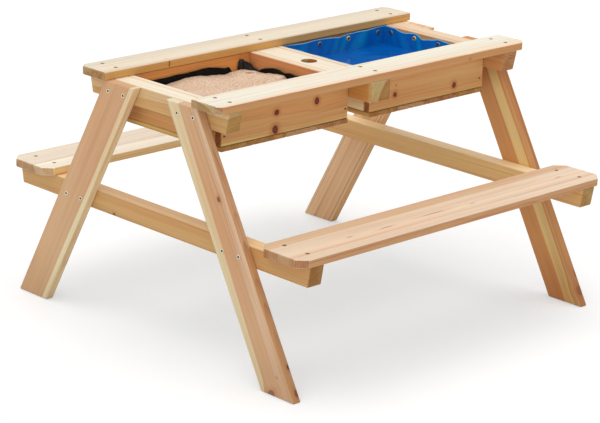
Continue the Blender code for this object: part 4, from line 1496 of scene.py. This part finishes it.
@dataclass
class WaterLining(Lining):
    """Blue coated sheet, held to the walls by eyelets and hanging a little between them.

    Attributes:
        rear_mm: height of the rim along the rear wall, by place along it.
        right_mm: the same along the right wall.
        rim_mm: the same at the eyelets of the front and the left wall.
        sag_mm: how far the rim sags between two eyelets, in front and on the left.
        close_mm: how far the sheet stands off a wall under water.
        belly_mm: how far it stands off the wall half way between two eyelets, and over what height.
        fold_mm: how far its broad folds and its sharp creases stand out.
        corner_mm: how far from a corner it starts to stand off.
        eyelet_highlight_mm: width of the painted highlight that runs to a brass eyelet.
        long_eyelets_mm: places of the eyelets along the front and rear walls.
        deep_eyelets_mm: places of the eyelets along the left and right walls.
        eyelet_height_mm: their height.
        brass: walls and numbers of the eyelets that are brass; the others are zinc.
        screw: the small domed screw in each eyelet.
    """

    node: str = "water_liner"
    slot: str = "blue_sheet"
    sheet_mm: float = 0.7
    cell_mm: float = 4.6
    rows: tuple[float, ...] = (0.12, 0.25, 0.38, 0.48, 0.55, 0.61, 0.67, 0.73, 0.79, 0.85, 0.91, 0.96, 1.0)
    flat_m: Pair = (0.510, 0.460)
    rear_mm: Points = (
        (47.0, 544.8), (62.0, 543.6), (77.0, 543.2), (113.0, 542.4), (138.0, 543.2), (158.0, 543.2),
        (183.0, 542.6), (198.0, 542.4), (212.0, 541.2), (228.0, 539.8), (242.0, 540.6), (258.0, 542.6),
        (270.0, 542.6), (291.0, 544.2), (339.0, 544.2), (355.0, 544.8), (379.0, 544.8),
    )
    right_mm: Points = (
        (-140.0, 543.5), (-107.0, 543.6), (-77.0, 542.5), (-48.0, 542.8), (-31.0, 543.2), (-9.0, 538.8),
        (18.0, 534.8), (26.0, 537.6), (35.0, 542.2), (45.0, 543.6), (58.0, 541.6), (72.0, 539.8),
        (89.0, 541.0), (106.0, 544.4), (125.0, 544.8), (140.0, 544.8),
    )
    rim_mm: float = 545.0
    sag_mm: Pair = (2.4, 0.5)
    close_mm: float = 0.5
    belly_mm: Pair = (9.0, 80.0)
    fold_mm: Pair = (4.0, 3.4)
    corner_mm: float = 12.0
    eyelet_highlight_mm: float = 13.0
    long_eyelets_mm: tuple[float, ...] = (70.0, 167.0, 258.0, 355.0)
    deep_eyelets_mm: tuple[float, ...] = (-107.0, -31.0, 45.0, 120.0)
    eyelet_height_mm: float = 531.0
    brass: tuple[tuple[Wall, int], ...] = ((Wall.REAR, 2), (Wall.RIGHT, 2), (Wall.FRONT, 1), (Wall.LEFT, 0))
    screw: ScrewShape = ScrewShape(2.5, 1.2, 0.0, 1.4, 1.0, 0.6, crown_mm=0.9)
    # One eyelet's section: radius and height above the sheet, from its neck over its rolled lip
    EYELET_MM = ((3.0, -0.2), (2.9, 0.5), (3.2, 1.0), (4.2, 1.15), (5.6, 0.75), (6.3, 0.2), (6.3, -0.2))
    EYELET_STEPS = 28
    # How far a ring stands off the sheet, and its screw off the ring's foot
    SEAT_MM = (0.45, 0.4)
    FOLDS = Waves(13, 8, 14, (0, 3.3))
    CREASES = Waves(30, 9, -16, (5, 3.3))
    # How strongly a fold, a crease and the streak to a brass eyelet take the painted highlight, and its slant
    FOLD_HIGHLIGHT_WEIGHTS = (0.6, 1.4, 0.85)
    EYELET_HIGHLIGHT_SLANT = 0.45

    def rim(self, wall: Wall, along: float) -> float:
        """Read the rim's height off the points, or let it sag between its eyelets where it is hidden.

        Args:
            wall: the wall.
            along: a place along it.

        Returns:
            The height there, in metres.
        """
        if wall is Wall.REAR:
            return blend_points(self.rear_mm, along / MM) * MM
        if wall is Wall.RIGHT:
            return blend_points(self.right_mm, along / MM) * MM
        sag = self.sag_mm[0 if wall is Wall.FRONT else 1] * self._between(wall, along)
        return (self.rim_mm - sag) * MM

    def _eyelets(self, wall: Wall) -> tuple[float, ...]:
        """Places of a wall's eyelets along it, in millimetres."""
        return self.long_eyelets_mm if wall in (Wall.FRONT, Wall.REAR) else self.deep_eyelets_mm

    def _between(self, wall: Wall, along: float) -> float:
        """How free the sheet is between its eyelets.

        Args:
            wall: the wall.
            along: a place along it.

        Returns:
            Nought at the eyelets and at the corners, one half way between two eyelets.
        """
        spots, place = self._eyelets(wall), along / MM
        for start, end in zip(spots, spots[1:]):
            if start < place < end:
                return math.sin(math.pi * (place - start) / (end - start)) ** 2
        return 0.0

    def _folds(self, wall: Wall, along: float, height: float) -> Pair:
        """Find how the sheet is folded at a place.

        Args:
            wall: the wall.
            along: a place along it.
            height: the height there.

        Returns:
            The level of the broad folds and that of the sharp creases, each from 0 to 1.
        """
        crease = abs(self.CREASES.level(wall, along, height)) ** 1.5
        return max(0.0, self.FOLDS.level(wall, along, height)), crease

    def slack(self, wall: Wall, along: float, height: float) -> float:
        """The sheet is held at its eyelets, bellies between them and lies close under water.

        Args:
            wall: the wall.
            along: a place along it.
            height: the height there.

        Returns:
            How far the sheet stands off the wall, in metres.
        """
        between = self._between(wall, along)
        belly, over = self.belly_mm
        up = max(0.0, min(1.0, (height - self.low.z) / (over * MM)))
        fold, crease = self._folds(wall, along, height)
        folds = self.fold_mm[0] * fold + self.fold_mm[1] * crease
        start, end = self._ends(wall)
        inside = min(along - start, end - along) / (self.corner_mm * MM)
        # It bellies most at 0.7 of its height, and an eyelet lets a quarter of the folds through
        off = belly * between * up * (1.4 - up) + up * min(1.0, 0.25 + between) * folds
        return (self.close_mm + max(0.0, min(1.0, inside)) * off) * MM

    def fold_highlight(self, wall: Wall, along: float, height: float) -> float:
        """Painted highlight: paler on the crests of folds and in a streak that runs to a brass eyelet.

        Args:
            wall: the wall.
            along: a place along it.
            height: the height there.

        Returns:
            How strong the painted highlight is, from 0 to 1.
        """
        fold, crease = self._folds(wall, along, height)
        eyelet_streak = 0.0
        for index, place in enumerate(self._eyelets(wall)):
            if (wall, index) in self.brass:
                below = self.eyelet_height_mm - height / MM
                off = abs(along / MM - place + self.eyelet_highlight_mm + self.EYELET_HIGHLIGHT_SLANT * below)
                eyelet_streak = max(eyelet_streak, 1 - off / self.eyelet_highlight_mm)
        by_fold, by_crease, by_eyelet_streak = self.FOLD_HIGHLIGHT_WEIGHTS
        return min(1.0, by_fold * fold * fold + by_crease * crease + by_eyelet_streak * eyelet_streak)

    def material(self) -> Material:
        """Coated tarpaulin: deep blue, glossy, with painted highlights on its folds and its cut rim.

        Returns:
            The material.
        """
        material, tree, shader = new_material("blue_coated_sheet")
        where = add_node(tree, "TexCoord").outputs["Object"]
        crease_mm = 22
        crease = add_node(tree, "TexNoise",
                          {"Vector": where, "Scale": 1 / (crease_mm * MM), "Detail": 3.0, "Distortion": 1.5})
        # Painted highlight: pale cyan on fold crests and in the streaks to the brass eyelets
        fold_highlight = add_node(tree, "Attribute", attribute_name="fold_highlight").outputs["Fac"]
        pale = add_node(tree, "Math", {0: crease, 1: 0.5, 2: 0.75}, operation="MULTIPLY_ADD")
        pale = add_node(tree, "Math", {0: fold_highlight, 1: pale}, operation="MULTIPLY", use_clamp=True)
        colour = add_node(tree, "Mix", {0: pale, 6: linear("0266BC"), 7: linear("0698CC")},
                          **BLEND).outputs[2]
        # Painted highlight: a bright line along the rim
        share = add_node(tree, "Attribute", attribute_name="rim_share").outputs["Fac"]
        rim_highlight = add_node(tree, "MapRange", {"Value": share, **span(0.972, 0.992, 0.0, 0.9)})
        colour = add_node(tree, "Mix", {0: rim_highlight, 6: colour, 7: linear("7CCBF2")}, **BLEND).outputs[2]
        bump = add_node(tree, "Bump", {"Height": crease, "Strength": 0.5, "Distance": 1.0 * MM})
        feed(shader, {"Base Color": colour, "Normal": bump, "Roughness": 0.30})
        return material

    def _spots(self) -> list[tuple[Wall, int, Matrix]]:
        """Find where each eyelet sits.

        Returns:
            Its wall, its number there, and its place, with Z pointing into the box.
        """
        spots = []
        for wall in Wall:
            edge = {Wall.FRONT: self.low.y, Wall.REAR: self.high.y,
                    Wall.LEFT: self.low.x, Wall.RIGHT: self.high.x}[wall]
            for index, place in enumerate(self._eyelets(wall)):
                along, height = place * MM, self.eyelet_height_mm * MM
                off = self.slack(wall, along, height) + self.SEAT_MM[0] * MM
                if wall in (Wall.FRONT, Wall.REAR):
                    point = Vector((along, edge + wall.value[1] * off, height))
                else:
                    point = Vector((edge + wall.value[0] * off, along, height))
                turn = Vector((*wall.value, 0)).to_track_quat("Z", "Y").to_matrix().to_4x4()
                spots.append((wall, index, Matrix.Translation(point) @ turn))
        return spots

    def _eyelet(self, bm: bmesh.types.BMesh, place: Matrix) -> None:
        """Turn one pressed ring: a rolled lip round a short neck.

        Args:
            bm: the mesh that takes it.
            place: its middle, with Z pointing into the box.
        """
        points = [bm.verts.new(place @ Vector((radius * MM, 0, height * MM)))
                  for radius, height in self.EYELET_MM]
        edges = [bm.edges.new(pair) for pair in zip(points, points[1:] + points[:1])]
        axis = place.to_3x3() @ Vector((0, 0, 1))
        bmesh.ops.spin(bm, geom=points + edges, cent=place.translation, axis=axis, dvec=(0, 0, 0),
                       angle=2 * math.pi, steps=self.EYELET_STEPS, use_merge=True, use_duplicate=False)

    def _hardware(self) -> list[bpy.types.Object]:
        """Model the eyelets, and the small domed screw in each.

        Returns:
            The pieces.
        """
        # Pressed brass, warm and bright on its lip
        brass = ScrewMetal("pressed_brass", "FCE0A0", "DCA850", 0.36).material()
        # Zinc-plated rings, grey against the blue
        zinc = ScrewMetal("pressed_zinc", "A8A8A4", "5C5C58", 0.32, 1.8).material()
        # The screws in them, dark with old oil
        oiled = ScrewMetal("oiled_steel", "6A5A48", "3A3026", 0.4).material()
        rings = {"brass": (bmesh.new(), brass), "zinc": (bmesh.new(), zinc)}
        screws = bmesh.new()
        for wall, index, place in self._spots():
            self._eyelet(rings["brass" if (wall, index) in self.brass else "zinc"][0], place)
            self.screw.add_to(screws, place @ Matrix.Translation((0, 0, self.SEAT_MM[1] * MM)))
        made = []
        for name, (bm, metal) in rings.items():
            bmesh.ops.remove_doubles(bm, verts=bm.verts, dist=0.01 * MM)
            made.append(finish_piece(f"lining_eyelets_{name}", bm, (metal,)))
        made.append(finish_piece("lining_screws", screws, (oiled, socket_shade())))
        return made

    def build(self) -> list[str]:
        """Model the lining with its eyelets.

        Returns:
            The names of the pieces.
        """
        piece = finish_piece("water_lining", self.mesh(), (self.material(),))
        self.thicken(piece)
        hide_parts(self.node)
        hardware = self._hardware()
        return [piece.name] + [item.name for item in hardware]


@dataclass
class Fill:
    """What lies in a lined box: a closed body whose sides follow the lining.

    Attributes:
        lining: the lining that holds it.
        node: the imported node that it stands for.
        cell_mm: size of a mesh cell of its surface.
        foot_mm: how far its foot stays inside the lining.
    """

    lining: Lining
    node: str
    cell_mm: float
    foot_mm: float = 2.0

    def surface(self, x: float, y: float) -> float:
        """Height of the surface, in metres."""
        raise NotImplementedError

    def mesh(self) -> bmesh.types.BMesh:
        """Raise a grid to the surface, fit it to the lining and close it down to the floor.

        Returns:
            The closed body.
        """
        low, high = self.lining.low, self.lining.high
        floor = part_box(self.node)[0][2]
        size = high - low
        bm = bmesh.new()
        cells = [round(length / (self.cell_mm * MM)) for length in (size.x, size.y)]
        bmesh.ops.create_grid(bm, x_segments=cells[0], y_segments=cells[1], size=0.5)
        inset = self.lining.sheet_mm * MM / 2
        for vert in bm.verts:
            across, deep = vert.co.x + 0.5, vert.co.y + 0.5
            x, y = low.x + across * size.x, low.y + deep * size.y
            height = self.surface(x, y)
            left = low.x + self.lining.slack(Wall.LEFT, y, height) + inset
            right = high.x - self.lining.slack(Wall.RIGHT, y, height) - inset
            front = low.y + self.lining.slack(Wall.FRONT, x, height) + inset
            rear = high.y - self.lining.slack(Wall.REAR, x, height) - inset
            vert.co = Vector((left + (right - left) * across, front + (rear - front) * deep, height))
        border = [edge for edge in bm.edges if edge.is_boundary]
        foot = self.foot_mm * MM
        for item in bmesh.ops.extrude_edge_only(bm, edges=border)["geom"]:
            if isinstance(item, bmesh.types.BMVert):
                item.co = Vector((min(max(item.co.x, low.x + foot), high.x - foot),
                                  min(max(item.co.y, low.y + foot), high.y - foot), floor))
        bmesh.ops.holes_fill(bm, edges=[edge for edge in bm.edges if edge.is_boundary])
        return bm


@dataclass
class SandFill(Fill):
    """Damp play sand, heaped against the rear right corner and pressed here and there.

    Attributes:
        spots_mm: places in the box and the sand's height there.
        spread_mm: how far the sand keeps about a spot's height.
        dimples: height in millimetres, number to a metre and noise layer of each size of dimple.
    """

    node: str = "sand"
    cell_mm: float = 2.2
    spread_mm: float = 13.0
    spots_mm: tuple[Triple, ...] = (
        (-360.0, 130.0, 509.5), (-320.0, 132.0, 509.5), (-293.0, 133.0, 510.6), (-260.0, 133.0, 514.0),
        (-227.0, 133.0, 517.0), (-197.0, 133.0, 516.6), (-164.0, 133.0, 511.6), (-145.0, 133.0, 509.2),
        (-118.0, 133.0, 505.8), (-100.0, 130.0, 510.0), (-75.0, 108.0, 521.0), (-56.0, 118.0, 509.0),
        (-53.0, 104.0, 505.5), (-53.0, 91.0, 507.8), (-53.0, 72.0, 511.3), (-53.0, 50.0, 515.2),
        (-53.0, 29.0, 517.2), (-53.0, 13.0, 508.5), (-55.0, -22.0, 506.5), (-112.0, 92.0, 515.0),
        (-100.0, 44.0, 514.0), (-160.0, 70.0, 512.0), (-220.0, 84.0, 516.0), (-280.0, 70.0, 513.0),
        (-340.0, 70.0, 511.0), (-120.0, -10.0, 512.0), (-180.0, 0.0, 510.0), (-250.0, 10.0, 512.5),
        (-320.0, 0.0, 511.0), (-110.0, -80.0, 509.0), (-190.0, -80.0, 511.0), (-270.0, -80.0, 511.5),
        (-340.0, -80.0, 508.5), (-90.0, -132.0, 507.0), (-220.0, -132.0, 508.0), (-350.0, -132.0, 506.5),
    )
    dimples: tuple[Triple, ...] = ((1.1, 28, 4.0), (0.8, 75, 9.0), (0.35, 240, 2.0))

    def surface(self, x: float, y: float) -> float:
        """Blend the spots' heights, with the dimples that hands leave.

        Args:
            x: a place along the table.
            y: the place across it.

        Returns:
            The sand's height there, in metres.
        """
        total = weights = 0.0
        for along, across, level in self.spots_mm:
            square = (x / MM - along) ** 2 + (y / MM - across) ** 2 + self.spread_mm ** 2
            weight = 1 / (square * square)
            total += weight * level
            weights += weight
        height = total / weights
        for deep, count, layer in self.dimples:
            height += deep * noise.noise(Vector((x * count, y * count, layer)))
        return height * MM

    def material(self) -> Material:
        """Washed quartz sand: matt, pinkish beige, with pale and dark grains.

        Returns:
            The material.
        """
        material, tree, shader = new_material("washed_sand")
        # Real grains are under a millimetre, too fine to show, so they are drawn at 1.7 mm
        grain_mm, damp_mm = 1.7, 55.0
        where = add_node(tree, "TexCoord").outputs["Object"]
        grain = add_node(tree, "TexVoronoi", {"Vector": where, "Scale": 1 / (grain_mm * MM)})
        chance = add_node(tree, "SeparateColor", {0: grain.outputs["Color"]})
        damp = add_node(tree, "TexNoise", {"Vector": where, "Scale": 1 / (damp_mm * MM), "Detail": 4.0})
        colour = add_node(tree, "Mix", {0: damp, 6: linear("EBCFB6"), 7: linear("D9B595")},
                          **BLEND).outputs[2]
        for low, high, tint in ((0.82, 0.86, "C89C7C"), (0.94, 0.96, "96705A"), (0.12, 0.08, "F8EADA")):
            share = add_node(tree, "MapRange", {"Value": chance, **span(low, high, 0.0, 0.8)})
            colour = add_node(tree, "Mix", {0: share, 6: colour, 7: linear(tint)}, **BLEND).outputs[2]
        bump = add_node(tree, "Bump",
                        {"Height": grain.outputs["Distance"], "Strength": 0.7, "Distance": 0.8 * MM})
        feed(shader, {"Base Color": colour, "Normal": bump, "Roughness": 0.92, "Specular IOR Level": 0.25})
        return material

    def build(self) -> list[str]:
        """Model the sand.

        Returns:
            The name of the piece.
        """
        piece = finish_piece("play_sand", self.mesh(), (self.material(),), None)
        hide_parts(self.node)
        return [piece.name]


@dataclass
class WaterFill(Fill):
    """Still water, half way up the lining, with the last small ripples of play.

    Attributes:
        level_mm: height of its surface.
        ripple: height in millimetres and number to a metre of the loose ripples.
        rings: height in millimetres and turn to a metre, in radians, of the round ripples.
        rings_from: where these start, in metres.
    """

    node: str = "water"
    cell_mm: float = 4.0
    level_mm: float = 505.0
    ripple: Pair = (0.35, 30)
    rings: Pair = (0.15, 160)
    rings_from: Pair = (0.23, -0.02)
    SIDE_CREASE_DEG = 50

    def surface(self, x: float, y: float) -> float:
        """Lay the surface level, with ripples under half a millimetre high.

        Args:
            x: a place along the table.
            y: the place across it.

        Returns:
            The water's height there, in metres.
        """
        (loose, count), (round_, turn) = self.ripple, self.rings
        away = math.hypot(x - self.rings_from[0], y - self.rings_from[1])
        ripple = loose * noise.noise(Vector((x * count, y * count, 1.0))) + round_ * math.sin(turn * away)
        return (self.level_mm + ripple) * MM

    def material(self) -> Material:
        """Clear water over a blue sheet: the sheet's colour, deepened, under a mirror surface.

        Returns:
            The material.
        """
        material, tree, shader = new_material("clear_water")
        patch_mm = 70
        where = add_node(tree, "TexCoord").outputs["Object"]
        depth = add_node(tree, "TexNoise",
                         {"Vector": where, "Scale": 1 / (patch_mm * MM), "Detail": 2.0, "Distortion": 0.8})
        colour = add_node(tree, "Mix", {0: depth, 6: linear("024C9C"), 7: linear("0466BA")},
                          **BLEND).outputs[2]
        feed(shader, {"Base Color": colour, "Roughness": 0.05, "IOR": 1.333, "Specular IOR Level": 0.25})
        return material

    def build(self) -> list[str]:
        """Model the water.

        Returns:
            The name of the piece.
        """
        piece = finish_piece("play_water", self.mesh(), (self.material(),), self.SIDE_CREASE_DEG)
        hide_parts(self.node)
        return [piece.name]


# The studio


@dataclass
class Studio:
    """A white sweep under soft light from above and from the left, and the photograph's camera.

    Attributes:
        camera_place: where the camera stands, in metres.
        camera_turns: its turn to the right, its dip and its roll, in radians.
        focal_px: its focal length in pixels of the photograph.
        frame_px: width of the photograph in pixels.
        sensor_mm: width of the sensor.
        fill: strength of the light from all round.
        lamps: each lamp's name, the way to it, its strength and how many degrees wide it is.
        floor_m: half the floor's width.
        floor_drop_mm: how far it lies under the feet.
        floor_grey: what the floor gives back to the table.
        floor_tint: what it shows the camera of the light that falls on it.
        floor_glow: colour and strength of its own glow in the camera, which keeps its shadows pale.
    """

    camera_place: Triple = (-3.4626, -3.5719, 1.7843)
    camera_turns: Triple = (0.7676, 0.3081, 0.0258)
    focal_px: float = 2350.832
    frame_px: float = 600.0
    sensor_mm: float = 36.0
    fill: float = 0.54
    lamps: tuple[tuple[str, Triple, float, float], ...] = (
        ("overhead", (-0.10, 0.10, 2.0), 1.38, 64.0),
        ("key", (-2.2, -1.3, 0.8), 0.78, 64.0),
    )
    floor_m: float = 30.0
    floor_drop_mm: float = 0.5
    floor_grey: Colour = (0.74, 0.74, 0.74, 1)
    floor_tint: Colour = (0.74, 0.655, 0.62, 1)
    floor_glow: tuple[Colour, float] = ((0.77, 1.0, 1.09, 1), 0.385)

    def build(self) -> None:
        """Set up the floor, the light and the camera."""
        self._floor()
        self._world()
        for name, way, strength, width in self.lamps:
            lamp = bpy.data.lights.new(name, "SUN")
            lamp.energy = strength
            lamp.angle = math.radians(width)
            holder = bpy.data.objects.new(name, lamp)
            holder.location = way
            holder.rotation_euler = Vector(way).to_track_quat("Z", "Y").to_euler()
            bpy.context.scene.collection.objects.link(holder)
        self._camera()
        bpy.context.scene.view_settings.view_transform = "Standard"

    def _seen(self, tree: Tree) -> Source:
        """Tell what is seen from what only lights.

        Args:
            tree: the tree that takes the nodes.

        Returns:
            One where a ray comes from the camera, a reflection or a clear body.
        """
        path = add_node(tree, "LightPath").outputs
        share = add_node(tree, "Math", {0: path["Is Camera Ray"], 1: path["Is Glossy Ray"]},
                         operation="MAXIMUM")
        return add_node(tree, "Math", {0: share, 1: path["Is Transmission Ray"]}, operation="MAXIMUM")

    def _floor(self) -> None:
        """A plain pale floor: white to the camera where no shadow falls on it."""
        bm = bmesh.new()
        bmesh.ops.create_grid(bm, x_segments=1, y_segments=1, size=self.floor_m)
        bmesh.ops.translate(bm, verts=bm.verts, vec=(0, 0, -self.floor_drop_mm * MM))
        mesh = bpy.data.meshes.new("floor")
        bm.to_mesh(mesh)
        bm.free()
        floor = bpy.data.objects.new("floor", mesh)
        bpy.context.scene.collection.objects.link(floor)
        material = bpy.data.materials.new("white_sweep")
        material.use_nodes = True
        tree = material.node_tree
        tree.nodes.clear()
        lit = add_node(tree, "BsdfDiffuse", {"Color": self.floor_grey})
        soft = add_node(tree, "BsdfDiffuse", {"Color": self.floor_tint})
        colour, strength = self.floor_glow
        glow = add_node(tree, "Emission", {"Color": colour, "Strength": strength})
        seen = add_node(tree, "AddShader", {0: soft, 1: glow})
        path = add_node(tree, "LightPath").outputs["Is Camera Ray"]
        mixed = add_node(tree, "MixShader", {0: path, 1: lit, 2: seen})
        add_node(tree, "OutputMaterial", {"Surface": mixed})
        mesh.materials.append(material)

    def _world(self) -> None:
        """Even light from all round, white where it is seen."""
        world = bpy.data.worlds.new("studio")
        bpy.context.scene.world = world
        world.use_nodes = True
        tree = world.node_tree
        tree.nodes.clear()
        fill, seen = (add_node(tree, "Background", {"Color": (1, 1, 1, 1), "Strength": level}).outputs[0]
                      for level in (self.fill, 1.0))
        mixed = add_node(tree, "MixShader", {0: self._seen(tree), 1: fill, 2: seen})
        add_node(tree, "OutputWorld", {"Surface": mixed})

    def _camera(self) -> None:
        """The photograph's own view, fitted to the table's edges."""
        turn, dip, roll = self.camera_turns
        ahead = Vector((math.sin(turn) * math.cos(dip), math.cos(turn) * math.cos(dip), -math.sin(dip)))
        level_right = Vector((math.cos(turn), -math.sin(turn), 0))
        level_up = level_right.cross(ahead)
        right = level_right * math.cos(roll) + level_up * math.sin(roll)
        up = level_up * math.cos(roll) - level_right * math.sin(roll)
        lens = bpy.data.cameras.new("camera")
        lens.sensor_width = self.sensor_mm
        lens.lens = self.focal_px / self.frame_px * self.sensor_mm
        lens.clip_end = 100
        camera = bpy.data.objects.new("camera", lens)
        axes = Matrix((right, up, -ahead)).transposed().to_4x4()
        camera.matrix_world = Matrix.Translation(self.camera_place) @ axes
        bpy.context.scene.collection.objects.link(camera)
        bpy.context.scene.camera = camera


def main() -> None:
    """Build every piece in order and report it."""
    logging.basicConfig(level=logging.INFO, format="%(name)s: %(message)s")
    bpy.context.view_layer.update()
    Studio().build()
    sand_lining, water_lining = SandLining(), WaterLining()
    for name, pieces in (
        ("boards", Joinery().dress()),
        ("screws", Screws().build()),
        ("sand lining", sand_lining.build()),
        ("sand", SandFill(sand_lining).build()),
        ("water lining", water_lining.build()),
        ("water", WaterFill(water_lining).build()),
    ):
        LOG.info("%s: %s", name, ", ".join(pieces))


if __name__ == "__main__":
    main()
